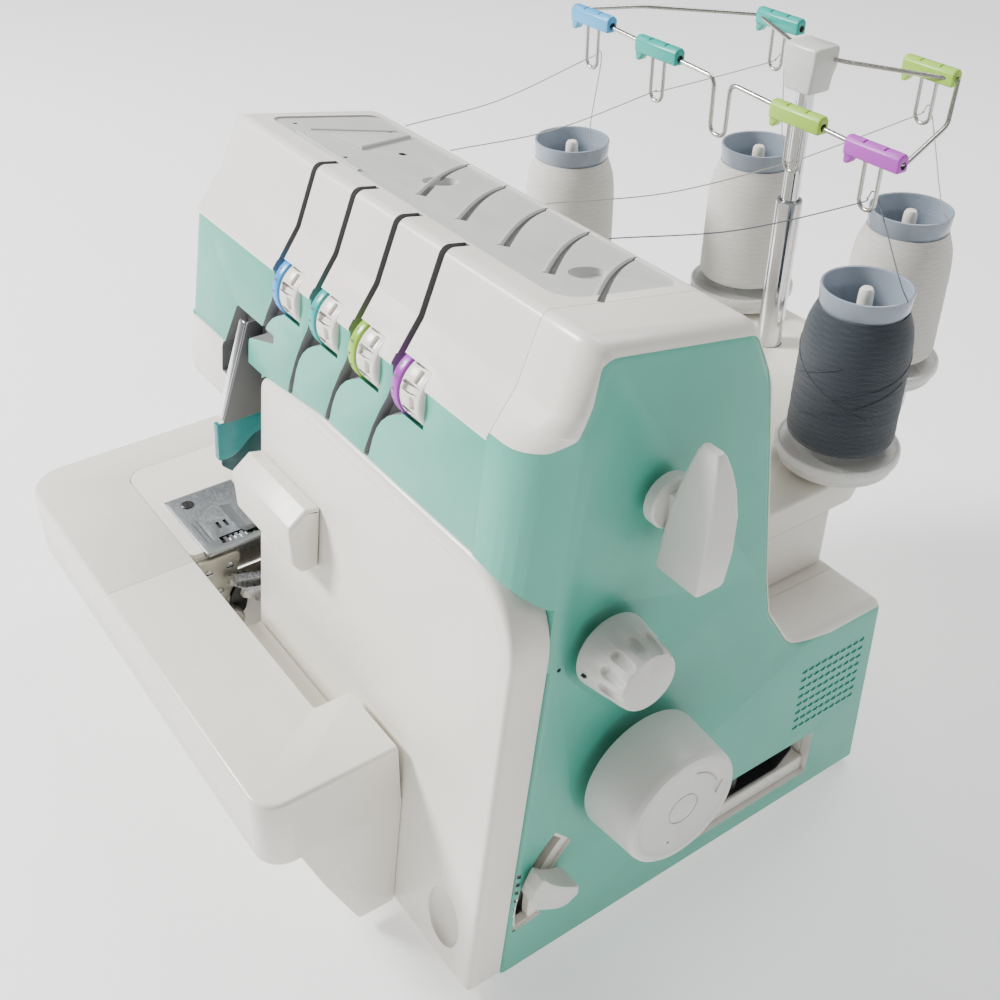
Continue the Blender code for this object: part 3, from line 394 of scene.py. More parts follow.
def loft(name, rings, look=None, caps=True, closed=False):
    """Skin through rings of equal length; caps close its two ends."""
    count = len(rings[0])
    points = [p for ring in rings for p in ring]
    faces = []
    pairs = len(rings) if closed else len(rings) - 1
    for i in range(pairs):
        low = i * count
        high = (i + 1) % len(rings) * count
        for j in range(count):
            k = (j + 1) % count
            faces.append((low + j, low + k, high + k, high + j))
    if caps and not closed:
        faces.append(tuple(range(count))[::-1])
        faces.append(tuple(range(len(points) - count, len(points))))
    return mesh_object(name, points, faces, look)


def prism(name, outline, axis, low, high, look=None):
    """Outline drawn out along an axis."""
    return loft(name, [lifted(outline, axis, low), lifted(outline, axis, high)], look)


def slab(name, outline, axis, low, high, look=None, edge=1.0, steps=3, both=True):
    """Prism rounded over by edge at its high end, or at both."""
    shares = list(rounding_steps(steps))
    first = [lifted(outline, axis, low)]
    if both:
        first = [lifted(inset(outline, edge * along), axis, low + edge * short)
                 for along, short in shares[::-1]]
    last = [lifted(inset(outline, edge * along), axis, high - edge * short)
            for along, short in shares]
    return loft(name, first + last, look)


def block(name, low, high, look=None):
    """Box between two opposite corners."""
    outline = [(low[0], low[1]), (high[0], low[1]), (high[0], high[1]), (low[0], high[1])]
    return prism(name, outline, "Z", low[2], high[2], look)


def turned(name, centre, profile, axis="Z", steps=48, look=None, closed=False):
    """Revolve (radius, height) points round an axis through centre."""
    cx, cy, cz = centre
    rings = []
    for radius, height in profile:
        ring = []
        for step in range(steps):
            a = 2 * math.pi * step / steps
            u = radius * math.cos(a)
            v = radius * math.sin(a)
            ring.append({"Z": (cx + u, cy + v, cz + height), "X": (cx + height, cy + u, cz + v),
                         "Y": (cx + u, cy + height, cz + v)}[axis])
        rings.append(ring)
    return loft(name, rings, look, caps=not closed, closed=closed)


def tube(name, points, radius, look=None, steps=12, end_radius=None):
    """Round bar along a path, its section carried without twist."""
    points = [Vector(p) for p in points]
    last = radius if end_radius is None else end_radius
    heading = (points[1] - points[0]).normalized()
    side = heading.orthogonal().normalized()
    rings = []
    for i, here in enumerate(points):
        before = (here - points[i - 1]).normalized() if i else heading
        after = (points[i + 1] - here).normalized() if i < len(points) - 1 else before
        new = (before + after).normalized()
        side = (side - new * side.dot(new)).normalized()
        up = new.cross(side)
        share = i / (len(points) - 1)
        size = radius + (last - radius) * share
        rings.append([here + (side * math.cos(a) + up * math.sin(a)) * size
                      for a in [2 * math.pi * s / steps for s in range(steps)]])
    return loft(name, rings, look)


def curved(stops, steps=5):
    """Points along a smooth curve through the stops."""
    stops = [Vector(stop) for stop in stops]
    ends = [stops[0] * 2 - stops[1], *stops, stops[-1] * 2 - stops[-2]]
    route = []
    for i in range(1, len(ends) - 2):
        a, b, c, d = ends[i - 1:i + 3]
        for step in range(steps):
            t = step / steps
            route.append(0.5 * (2 * b + (c - a) * t + (2 * a - 5 * b + 4 * c - d) * t * t
                                + (3 * b - a - 3 * c + d) * t * t * t))
    return route + [stops[-1]]


def bent(stops, radius, count=5):
    """Polyline with its inner corners rounded to a radius."""
    stops = [Vector(stop) for stop in stops]
    route = [stops[0]]
    for i in range(1, len(stops) - 1):
        here = stops[i]
        back = stops[i - 1] - here
        ahead = stops[i + 1] - here
        reach = min(radius, back.length / 2.01, ahead.length / 2.01)
        first = here + back.normalized() * reach
        last = here + ahead.normalized() * reach
        for step in range(count + 1):
            t = step / count
            route.append(first * (1 - t) ** 2 + here * 2 * t * (1 - t) + last * t * t)
    return route + [stops[-1]]


def applied(thing):
    """Bake an object's modifiers into its mesh."""
    bpy.context.view_layer.update()
    graph = bpy.context.evaluated_depsgraph_get()
    mesh = bpy.data.meshes.new_from_object(thing.evaluated_get(graph))
    thing.modifiers.clear()
    thing.data = mesh
    return thing


def joined(things):
    """Meshes put together in the first object, materials kept."""
    first = things[0]
    shape = bmesh.new()
    looks = []
    for thing in things:
        mesh = thing.data.copy()
        base = len(looks)
        looks += list(mesh.materials)
        for face in mesh.polygons:
            face.material_index += base
        shape.from_mesh(mesh)
    first.data.materials.clear()
    for look in looks:
        first.data.materials.append(look)
    shape.to_mesh(first.data)
    shape.free()
    for thing in things[1:]:
        bpy.data.objects.remove(thing)
    return first


def boolean(target, tools, operation="DIFFERENCE"):
    """Cut, join or intersect with tools, whose materials go to the faces they leave."""
    for tool in tools:
        step = target.modifiers.new("shape", "BOOLEAN")
        step.operation = operation
        step.solver = "EXACT"
        step.object = tool
        step.material_mode = "TRANSFER"
    applied(target)
    for tool in tools:
        bpy.data.objects.remove(tool)
    return target


def copied(thing, name):
    """Second object with a mesh of its own."""
    made = thing.copy()
    made.data = thing.data.copy()
    made.name = name
    bpy.context.scene.collection.objects.link(made)
    return made


def soften(thing, width=0.5, segments=2, angle=32.0):
    """Round every edge sharper than an angle."""
    rounding = thing.modifiers.new("rounding", "BEVEL")
    rounding.width = width
    rounding.segments = segments
    rounding.limit_method = "ANGLE"
    rounding.angle_limit = math.radians(angle)
    rounding.use_clamp_overlap = True
    rounding.harden_normals = False
    return applied(thing)


def bevel_where(thing, choose, width, segments=4):
    """Round the edges that choose(a, b) picks by their end points."""
    shape = bmesh.new()
    shape.from_mesh(thing.data)
    edges = [e for e in shape.edges if choose(e.verts[0].co, e.verts[1].co)]
    bmesh.ops.bevel(shape, geom=edges, offset=width, segments=segments, profile=0.5,
                    affect="EDGES", clamp_overlap=True)
    shape.to_mesh(thing.data)
    shape.free()
    return thing


def place_matrix():
    """From the machine frame in millimetres to the row frame in metres."""
    low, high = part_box("handwheel")
    origin = Vector((low.x - WHEEL_REAR_X * MM, (low.y + high.y) / 2 - WHEEL_CENTRE[0] * MM,
                     (low.z + high.z) / 2 - WHEEL_CENTRE[1] * MM))
    return Matrix.Translation(origin) @ Matrix.Scale(MM, 4)


PLACE = place_matrix()


def piece(thing, body, slot, *nodes):
    """Hand a finished shape to the frame: place it, shade it, and let it ride."""
    thing.data.transform(PLACE @ thing.matrix_world)
    thing.matrix_world = Matrix.Identity(4)
    thing.data.shade_smooth()
    thing.data.set_sharp_from_angle(angle=math.radians(32))
    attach(thing, body)
    if nodes:
        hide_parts(*nodes)
    return thing


def cover_face(z):
    """y of the looper cover's leaning face."""
    return COVER_FACE_Y + LEAN * z


def panel_face(z):
    """y of the coloured front panel's leaning face."""
    return 13.5 - 0.13 * (246.0 - z)


def along_cover(outline, depth):
    """Outline (x, z) laid parallel to the cover's face, depth behind it."""
    return [(x, cover_face(z) + depth, z) for x, z in outline]


def panel_cut(name, outline, depth, look):
    """Cutter from in front of the machine to depth behind the front panel's face."""
    back = [(x, panel_face(z) + depth, z) for x, z in outline]
    return loft(name, [lifted(outline, "Y", -20.0), back], look)


# ---------------------------------------------------------------------- body

# Side outline (y, z, radius) of the housings, and where their rounding meets the flat side wall.
OUTER = [
    (0.8, 0.0), (19.7, 160.0), (2.3, 160.0), (13.5, 246.0), (20.5, 255.5, 8), (25.0, 261.5, 10),
    (35.0, 285.0, 4), (104.0, 272.5, 10), (115.5, 246.0), (129.5, 153.0, 20), (135.0, 131.0, 18),
    (153.0, 104.5, 16), (209.0, 103.0, 6), (214.0, 1.0),
]
INNER = [
    (3.3, 0.0), (23.5, 160.0), (25.0, 162.0), (35.5, 246.0), (31.0, 254.5, 5), (32.0, 262.0, 8),
    (41.5, 277.3, 2), (100.0, 266.5, 6), (111.0, 244.0), (125.5, 152.0, 20), (131.0, 129.0, 20),
    (150.5, 100.5, 18), (205.5, 99.0, 3), (211.0, 1.0),
]
# Edge of the coloured side panel, inside the light band.
TEAL = [
    (-40, -10), (-40, 246.8), (13.0, 246.8), (20.8, 249.0, 4), (28.0, 254.0, 5), (33.0, 265.0, 6),
    (37.5, 279.8, 5), (102.0, 268.2, 8), (110.5, 252.0), (117.0, 217.0), (127.0, 153.0, 18),
    (131.5, 133.0, 16), (150.0, 104.0, 22), (175.0, 100.6), (240, 100.0), (240, -10),
]
# Hollow of the side panel, and of the light band round it.
SIDE_ROOM = [
    (6.5, -5.0), (26.5, 160.0), (29.0, 163.0), (39.0, 246.0), (37.0, 262.0), (46.0, 274.0), (98.0, 264.5),
    (107.5, 243.0), (122.0, 152.0), (127.5, 127.0), (148.0, 97.0), (204.0, 95.5), (208.5, -5.0),
]
LEFT_END = -262.0


def rounding_reach(depth):
    """How far to the left the rounding starts, which grows with its depth."""
    return depth * 1.25 if depth < 9 else 11.25 + (depth - 9) * 0.85


def right_core(name, look, recess=0.0):
    """Right end of the housings, its side wall inset by recess."""
    outer = filleted(OUTER)
    inner = filleted(INNER)
    rings = [[(SEAM_X, y, z) for y, z in outer]]
    for share, short in rounding_steps(8):
        ring = []
        for (oy, oz), (iy, iz) in zip(outer, inner):
            reach = rounding_reach(math.hypot(iy - oy, iz - oz))
            ring.append((-reach * short - recess, oy + (iy - oy) * share, oz + (iz - oz) * share))
        rings.append(ring)
    return loft(name, rings, look)


def cover_outline(grow=0.0, shift=0.0):
    """Looper cover seen from the front, grown all round and slid to the right."""
    left = COVER_LEFT - grow
    right = -0.2 + grow + shift
    top = COVER_TOP_Z + grow
    bottom = 0.3 - grow * 10
    return filleted([
        (left, bottom, 3), (right, bottom, 3), (right, top, 32 + grow), (left + 50, top, 60),
        (left, top - 6, 6),
    ], 12)


def cover_room(shift):
    """Space kept clear behind and beside the looper cover, slid to the right by shift."""
    outline = cover_outline(0.6, shift)
    return loft("room", [lifted(outline, "Y", -40.0), along_cover(outline, COVER_DEPTH + 0.3)])


def dish(centre, radius, depth, look):
    """Shallow bowl cut into the side wall round a control."""
    bow = (radius * radius + depth * depth) / (2 * depth)
    profile = [(0.0, 6.0), (radius + 4, 6.0)]
    for step in range(9):
        r = (radius + 4) * (1 - step / 8)
        profile.append((r, -depth + r * r / (2 * bow)))
    return turned("dish", (0, *centre), profile, "X", 64, look)


def arc_points(centre, radius, start, end, count):
    """Points along an arc, its ends given in degrees."""
    points = []
    for i in range(count + 1):
        a = math.radians(start + (end - start) * i / count)
        points.append((centre[0] + radius * math.cos(a), centre[1] + radius * math.sin(a)))
    return points


def arc_band(centre, outer, inner, start, end, count):
    """Outline between two arcs round a centre."""
    there = arc_points(centre, outer, start, end, count)
    return there + arc_points(centre, inner, end, start, count)


def side_cutters(mint, shade, white):
    """Everything cut into the side wall, one list per boolean."""
    wheel = dish(WHEEL_CENTRE, 33.0, 2.6, mint)
    stitch = dish(STITCH_CENTRE, 19.5, 2.6, mint)
    bores = [
        turned("bore", (0, *centre), [(radius, THROUGH), (radius, BEYOND)], "X", steps, shade)
        for centre, radius, steps in (
            (WHEEL_CENTRE, 6.2, 32), (STITCH_CENTRE, 4.2, 24), (LIFTER_CENTRE, 4.6, 24))
    ]
    bores.append(turned("dot", (0, 24.8, 160.0), [(0.9, -2.0), (0.9, 4)], "X", 12, shade))
    first = FEED_REST - FEED_SWEEP
    last = FEED_REST + FEED_SWEEP
    recess = arc_band(FEED_PIVOT, 55.8, 42.6, first - 2, last + 1, 16)
    slot = arc_band(FEED_PIVOT, 54.0, 47.6, first, last, 14)
    bores.append(prism("feed_slot", slot, "X", THROUGH, BEYOND, white))
    mouth = rectangle((104, 10.5), (178, 37), 1.5, 3)
    bores.append(prism("mouth", mouth, "X", THROUGH, BEYOND, white))
    for row in range(8):
        z = 47.5 + row * 5.0
        shift = -0.1 * row
        dash = 162.0 + shift
        while dash < 202.0 + shift:
            long = min(3.4, 203.0 + shift - dash)
            ends = rectangle((dash, z), (dash + long, z + 2.2), 0.9, 2)
            bores.append(prism("vent", ends, "X", -1.15, BEYOND, mint))
            dash += 4.0
    for number in range(8):
        z = 24.0 + number * 4.6
        y = 7.0 + 0.028 * number ** 2.2
        bores.append(block("mark", (-1.0, y, z), (2.0, y + 1.6, z + 2.0), shade))
        if number % 2 == 0:
            bores.append(block("mark", (-1.0, y - 3.4, z + 0.3), (2.0, y - 2.2, z + 1.6), shade))
    return [wheel], [stitch], [prism("recess", recess, "X", -1.9, BEYOND, white)], bores


def make_side_panel(mint, shade, white):
    """Coloured right end: deep cap with the controls' dishes, slots and openings."""
    cap = right_core("side_panel", mint, 0.5)
    boolean(cap, [prism("inside", filleted(TEAL), "X", -60, 20, mint)], "INTERSECT")
    boolean(cap, [prism("hollow", SIDE_ROOM, "X", -40, -5.6, mint)])
    boolean(cap, [block("base_room", (-40, 4.5, -5), (-3.0, 208.5, 9.0), mint)])
    for shift in (0.0, COVER_TRAVEL):
        boolean(cap, [cover_room(shift)])
    for tools in side_cutters(mint, shade, white):
        boolean(cap, [joined(tools)])
    return piece(soften(cap, 0.35, 2), "machine", "mint", "end_cap")


def make_side_trim(white):
    """Light band round the side panel: front skirt, top rim and rear curve."""
    trim = right_core("side_trim", white)
    boolean(trim, [prism("panel", inset(filleted(TEAL), -0.15), "X", -60, 20, white)])
    boolean(trim, [prism("core", SIDE_ROOM, "X", -60, -10, white)])
    return piece(soften(trim, 0.9, 3, 28), "machine", "white", "end_trim")


UPPER = [
    (5.0, 165.0), (3.9, 172.0), (13.5, 246.0), (20.5, 255.5, 8), (25.0, 261.5, 10), (35.0, 285.0, 4),
    (104.0, 272.5, 10), (115.5, 246.0), (126.6, 172.0), (124.0, 165.0),
]


def left_x(z):
    """x of the head's left end, which leans in above the nose."""
    return LEFT_END + max(0.0, z - 195.0) / 90.0 * 16.0


def upper_core(name, look, recess=0.0):
    """Arm and head in one block, rounded at the left end."""
    outer = filleted([(y + (recess if z < 250 and y < 30 else 0.0), z, *r) for y, z, *r in UPPER])
    rings = [[(SEAM_X - GAP, y, z) for y, z in outer]]
    depth = 7.0
    inner = inset(outer, depth * 0.8)
    for share, short in rounding_steps(6):
        ring = []
        for (oy, oz), (iy, iz) in zip(outer, inner):
            y = oy + (iy - oy) * share
            z = oz + (iz - oz) * share
            ring.append((left_x(z) + depth * short + recess * 0.5, y, z))
        rings.append(ring)
    return loft(name, rings, look)


def slit_path(depth):
    """Front and top edge of the arm above the dials, moved in by depth."""
    return [
        (panel_face(236) + depth, 236.0), (13.5 + depth, 246.0 - depth * 0.1),
        (20.5 + depth * 0.9, 255.5 - depth * 0.3), (25.0 + depth * 0.95, 261.5 - depth * 0.35),
        (35.0 + depth * 0.7, 285.0 - depth * 0.75), (44.5, 283.2 - depth * 0.75),
    ]


def valley(slot, look):
    """Groove running down and left from a dial, between two fingers of the panel.

    The first one ends early, where the notch for the face plate begins.
    """
    shape = (
        (-2.3, 249.0), (-2.3, 237.0), (-4.6, 231.0), (-8.6, 224.0), (-13.2, 214.5), (-17.4, 203.0),
        (-20.2, 190.0), (-16.6, 190.0), (-14.6, 201.0), (-12.4, 210.0), (-10.2, 215.5), (-7.4, 219.8),
        (-3.6, 223.6), (0.6, 226.4), (5.0, 228.6), (9.0, 231.6), (1.9, 236.0), (1.9, 249.0),
    )
    outline = [(slot + dx, z) for dx, z in shape if slot > DIAL_SLOTS[0] or z > 214]
    return panel_cut("valley", outline, 6.5, look)


def dial_cutters(dark, soft, own):
    """Groove from the top edge down, well for the dial, and valley below, for each dial."""
    tools = []
    outline = [(-20, 236.0), *slit_path(7.0), (44.5, 300.0), (-20, 300.0)]
    for slot in DIAL_SLOTS:
        tools.append([prism("slit", outline, "X", slot - 1.7, slot + 1.7, dark)])
        tools.append([valley(slot, soft)])
        well = [(14.5, 1.4), (14.5, 19.3)]
        tools.append([turned("well", (slot, *DIAL_CENTRE), well, "X", 72, own)])
    return tools


def upper_room(look):
    """Hollow of the arm and head."""
    outline = [
        (43.0, 168.0), (43.0, 262.0), (47.0, 278.0), (100.5, 268.0), (111.0, 245.0), (121.0, 172.0),
        (119.0, 168.0),
    ]
    return prism("hollow", outline, "X", -240.0, SEAM_X + 5, look)


def head_cutters(shade, soft):
    """Passages for the bars and the lamp, lined in painted shade, and the notch behind the face plate, its
    walls painted grey as shade.
    """
    notch = filleted([
        (-223, 180, 1), (-199, 180, 1), (-199, 206, 3), (-176.5, 213, 1), (-176.5, 216.5, 1),
        (-210, 216.5, 2.5), (-223, 192, 3),
    ], 4)
    return [
        [prism("bars", rectangle((-240, 15), (-216, 42), 3, 3), "Z", 150, 246, shade)],
        [block("bar_tops", (-240, 25, 240), (-216, 42, 258), shade)],
        [turned("lamp_seat", (-196, 30, 0), [(7.5, 150), (7.5, 197)], "Z", 24, shade)],
        [panel_cut("notch", notch, 9.0, soft)],
    ]


FIELD_DEPTH = 0.7


def top_z(y):
    """Height of the arm's top, which falls to the rear."""
    return 285.0 + (y - 35.0) * (-12.5 / 69.0)


def on_top(outline, lift):
    """Outline (x, y) laid on the arm's sloping top, raised by lift."""
    return [(x, y, top_z(y) + lift) for x, y in outline]


def top_features(look, deep_look, shade):
    """Cutters for the shallow field, threading holes and swept grooves on top of the arm."""
    field = filleted([(-236, 46, 6), (-34, 46, 10), (-34, 98, 6), (-236, 98, 6)], 6)
    field_cutter = loft("field", [on_top(field, -FIELD_DEPTH), lifted(field, "Z", 300.0)], look)
    holes = []
    for x, y, radius, depth in ((-149, 76, 5.2, 4.2), (-53, 73, 5.2, 4.2), (-183, 79, 1.7, 3.5),
                                (-213, 91, 1.3, 3.5), (-228, 54, 1.0, 3.5), (-182, 52, 1.0, 3.5),
                                (-23.0, 94.5, 1.2, 3.5), (-74, 104, 1.2, 3.5)):
        large = radius > 2
        rings = []
        for share, lift in ((0.8, -depth), (0.92, -2.0), (1.0, -0.9), (1.25, 3.0)):
            ring = ellipse((x, y), radius * share, radius * (1.5 if large else 1.0) * share, 36)
            rings.append(lifted(ring, "Z", top_z(y) + lift))
        holes.append(loft("hole", rings, look if large else shade))
    return [field_cutter], [joined(holes)], [joined(arc_grooves(deep_look))]


def arc_routes():
    """Five swept lines on top of the arm, from front right to rear left."""
    routes = []
    for start in (-134.5, -107.5, -81.0, -55.0, -29.0):
        route = []
        for step in range(17):
            share = step / 16
            swing = 0.5 * share + 0.5 * math.sin(math.pi / 2 * share)
            route.append((start - 31.0 * swing, 58.0 + 42.0 * share, share))
        routes.append(route)
    return routes


def beside(route, i, distance):
    """Point of a route moved to its right-hand side."""
    ahead = route[min(i + 1, len(route) - 1)]
    behind = route[max(i - 1, 0)]
    along = Vector((ahead[0] - behind[0], ahead[1] - behind[1])).normalized()
    return route[i][0] + along.y * distance, route[i][1] - along.x * distance


def arc_grooves(look):
    """Cutters for the swept grooves: wide and deep in front, fading to the rear."""
    tools = []
    for route in arc_routes():
        rings = []
        for i, (_, _, share) in enumerate(route):
            half = 1.3 - 0.9 * share
            deep = 2.2 - 1.5 * share
            left = beside(route, i, -half)
            right = beside(route, i, half)
            base = top_z(route[i][1]) - FIELD_DEPTH
            rings.append([(*left, base + 1.5), (*right, base + 1.5), (*right, base - deep * 0.5),
                          (*left, base - deep)])
        tools.append(loft("groove", rings, look))
    return tools


def make_ridges(look):
    """Lips along the swept grooves, and the ribs and the facet at the left end."""
    parts = []
    for route in arc_routes():
        lip = []
        for i, (_, y, share) in enumerate(route):
            lip.append((*beside(route, i, -2.5 + 1.1 * share), top_z(y) - 0.85))
        parts.append(tube("lip", lip, 1.0, look, 10, 0.7))
    for *ends, radius in (((-216, 49), (-165, 48.5), 1.0), ((-219, 56), (-213, 94), 0.8)):
        parts.append(tube("rib", on_top(ends, -0.8), radius, look, 8))
    facet = [(-210, 60), (-190, 64), (-204, 96)]
    rings = [on_top(facet, -1.4), on_top(facet, 0.2), on_top(inset(facet, 0.8), 0.6)]
    parts.append(loft("facet", rings, look))
    ridges = joined(parts)
    ridges.name = "top_ridges"
    return piece(ridges, "machine", "white")


def make_upper(white, mint, shade, soft, grey, slit_shade, arc_shade):
    """White shell above and behind, coloured front and left panels, white nose."""
    shell = boolean(upper_core("upper_shell", white), [upper_room(shade)])
    front = boolean(upper_core("front_mint", mint, 0.9), [upper_room(shade)])
    nose = copied(shell, "head_nose")
    left = boolean(upper_core("left_mint", mint, 0.4), [upper_room(shade)])
    past_left = -270

    def band_zone():
        return block("band_zone", (past_left, -20, BAND_LOW_Z), (0, 30, BAND_TOP_Z))

    def nose_zone():
        return block("nose_zone", (past_left, -20, 150), (NOSE_RIGHT_X, 30, BAND_LOW_Z - GAP))

    lower_zone = block("lower_zone", (NOSE_RIGHT_X + GAP, -20, 150), (0, 30, 200))
    boolean(shell, [band_zone(), lower_zone])
    boolean(shell, [nose_zone()])
    boolean(shell, [prism("left_zone", filleted(TEAL), "X", past_left, -252.5)])
    boolean(left, [band_zone()])
    boolean(left, [nose_zone()])
    left_zone = prism("left_zone", inset(filleted(TEAL), 0.15), "X", past_left, -252.3)
    boolean(left, [left_zone], "INTERSECT")
    boolean(nose, [nose_zone()], "INTERSECT")
    front_zone = block("front_zone", (past_left, -20, 192.0), (0, 30, BAND_TOP_Z - 0.2))
    boolean(front, [front_zone], "INTERSECT")
    boolean(front, [block("under", (past_left, -30, 180), (-186.5, 40, BAND_LOW_Z))])
    boolean(front, [cover_room(0.0)])
    for target in (front, nose, shell):
        for tools in head_cutters(shade, soft):
            boolean(target, tools)
    for target, own in ((front, mint), (shell, white)):
        for tools in dial_cutters(slit_shade, soft, own):
            boolean(target, tools)
    for tools in top_features(grey, arc_shade, shade):
        boolean(shell, tools)
    piece(soften(shell, 0.8, 3, 28), "machine", "white", "upper_housing")
    piece(soften(front, 0.5, 2, 28), "machine", "mint", "front_panel", "head_housing")
    piece(soften(left, 0.5, 2, 28), "machine", "mint")
    piece(soften(nose, 0.8, 2, 28), "machine", "white")
    make_ridges(grey)


def make_rear(cream, shade):
    """Rear housing with the shelf for the thread stand, and the walls round the throat."""
    outer = filleted([
        (116.5, 169.2), (126.9, 169.2), (129.5, 153.0, 20), (135.0, 131.0, 18), (153.0, 104.5, 16),
        (209.0, 103.0, 6), (213.8, 9.0), (116.5, 9.0),
    ])
    inner = inset(outer, 4.0)
    rings = [[(SEAM_X - GAP, y, z) for y, z in outer]]
    for share, short in rounding_steps(5):
        rings.append([(-250 + 5.0 * short, oy + (iy - oy) * share, oz + (iz - oz) * share)
                      for (oy, oz), (iy, iz) in zip(outer, inner)])
    rear = loft("rear_shell", rings, cream)
    room = [(122.0, 160.0), (126.0, 150.5), (131.0, 131.0), (147.0, 100.5), (206.0, 99.5),
            (210.5, 4.0), (122.0, 4.0)]
    boolean(rear, [prism("hollow", room, "X", -246.0, 0.0, shade)])
    boolean(rear, [block("drive", (-186.0, 100, -5), (0, 125, 164.0), shade)])
    piece(soften(rear, 0.6, 2, 28), "machine", "cream", "rear_housing")
    behind = COVER_DEPTH + 1.0
    column = prism("throat_column", [
        (cover_face(92) + behind, 92.3), (cover_face(164.5) + behind, 164.5), (115.8, 164.5),
        (115.8, 92.3),
    ], "X", COVER_LEFT, COVER_LEFT + 3.0, cream)
    piece(soften(column, 0.5), "machine", "white")


# --------------------------------------------------- cover, table and sewing area

def ellipse(centre, a, b, count):
    """Outline of an ellipse, its half axes along the two directions."""
    turns = [2 * math.pi * step / count for step in range(count)]
    return [(centre[0] + a * math.cos(t), centre[1] + b * math.sin(t)) for t in turns]


def make_cover(white):
    """Looper cover: leaning shell with a round top corner and a finger scoop."""
    outline = cover_outline()
    edge = 2.6
    rings = [along_cover(outline, COVER_DEPTH)]
    for along, short in rounding_steps(4):
        rings.append(along_cover(inset(outline, edge * along), edge * short))
    cover = loft("looper_cover", rings, white)
    inside = [(-184.0, 4.0), (-38.0, 4.0), (-38.0, 50.0), (-4.0, 50.0), (-4.0, 160.0),
              (-184.0, 160.0)]
    boolean(cover, [loft("hollow", [along_cover(inside, 3.0), along_cover(inside, 40.0)], white)])
    centre = (-21.5, 26.0)
    depth = 5.0
    scoop = [along_cover(ellipse(centre, 11.4, 15.4, 40), -6.0)]
    for step in range(9):
        share = step / 8
        size = math.sqrt(max(0.0004, 1 - share ** 2))
        scoop.append(along_cover(ellipse(centre, 11.0 * size, 15.0 * size, 40), depth * share))
    boolean(cover, [loft("scoop", scoop, white)])
    line = [(-184.5, 193.4), (-26.0, 193.4), (-26.0, 194.2), (-184.5, 194.2)]
    boolean(cover, [loft("line", [along_cover(line, -5.0), along_cover(line, 0.45)], white)])
    return piece(soften(cover, 0.45, 2, 30), "cover", "white", "front_cover")


def make_chip_guard(white):
    """Guard block on the cover, a long ridge above its middle."""
    outline = filleted([
        (cover_face(131) - GAP, 131.0), (cover_face(160) - GAP, 160.0, 1.0), (-3.8, 161.6, 1.2),
        (-12.7, 155.0, 2.0), (-12.4, 136.5, 2.5), (-8.5, 130.8, 2),
    ], 4)
    guard = slab("chip_guard_block", outline, "X", -184.0, -131.0, white, 1.8, 4)
    return piece(guard, "cover", "white", "chip_guard")


def make_table(white):
    """Extension table: deep tray upside down, its outer edges rolled, with one foot.

    The floor closes the well between the table and the cover from below.
    """
    inner = -26.3
    back = cover_face(58.0) - GAP
    outline = filleted([
        (-325, 43, 3), (-325, -70, 20), (-57, -70, 12), (-57, back), (-95, back, 1), (-95, inner, 1.5),
        (-298.3, inner, 10), (-298.3, 43, 2),
    ], 8)
    table = prism("table_top", outline, "Z", 58.0, BED_Z, white)

    def outer_top_edge(a, b):
        on_top = min(a.z, b.z) > BED_Z - 0.1
        return on_top and (min(a.y, b.y) < -44 or max(a.x, b.x) < -304 or min(a.x, b.x) > -58)

    bevel_where(table, outer_top_edge, 3.6, 5)
    room = filleted([
        (-322, 40, 2), (-322, -67, 17), (-60, -67, 9), (-60, -12), (-98, -12), (-98, inner - 3),
        (-301.3, inner - 3, 8), (-301.3, 40, 1),
    ], 6)
    boolean(table, [prism("room", room, "Z", 50.0, BED_Z - 3.5, white)])
    boolean(table, [block("seam", (-212.4, -90, BED_Z - 0.3), (-212.0, -26, BED_Z + 2))])
    foot = prism("table_foot", filleted([
        (-57, 62), (-47, 34, 6), (-33, 0.8, 4), (cover_face(0.8) - 0.4, 0.8, 1), (cover_face(62) - 0.4, 62),
    ], 4), "X", -60.0, -57.0, white)
    boolean(table, [foot], "UNION")
    ribs = [block("rib", (x, -66.9, 70.0), (x + 2.0, -29.5, BED_Z - 3.2), white)
            for x in (-270, -210, -150)]
    floor = prism("floor", [
        (-30.0, 62.0), (cover_face(62) - 0.6, 62.0), (cover_face(66) - 0.6, 66.0), (-30.0, 66.0),
    ], "X", -184.0, -94.0, white)
    table = soften(table, 0.5, 2, 35)
    return piece(joined([table, *ribs, floor]), "table", "white", "extension_table")


def screw(centre, radius, axis, look, dark, height=0.9):
    """Slotted screw head standing on a face."""
    head = turned("screw", centre, [
        (0.0, -0.4), (radius, -0.4), (radius, height * 0.5), (radius * 0.8, height), (0.0, height),
    ], axis, 28, look)
    x, y, z = centre
    wide = radius * 1.2
    slot = {"Z": ((x - wide, y - 0.35, z + height * 0.3), (x + wide, y + 0.35, z + 3)),
            "X": ((x + height * 0.3, y - wide, z - 0.35), (x + 3, y + wide, z + 0.35)),
            "Y": ((x - wide, y - 3, z - 0.35), (x + wide, y - height * 0.3, z + 0.35))}[axis]
    return boolean(head, [block("slot", *slot, dark)])


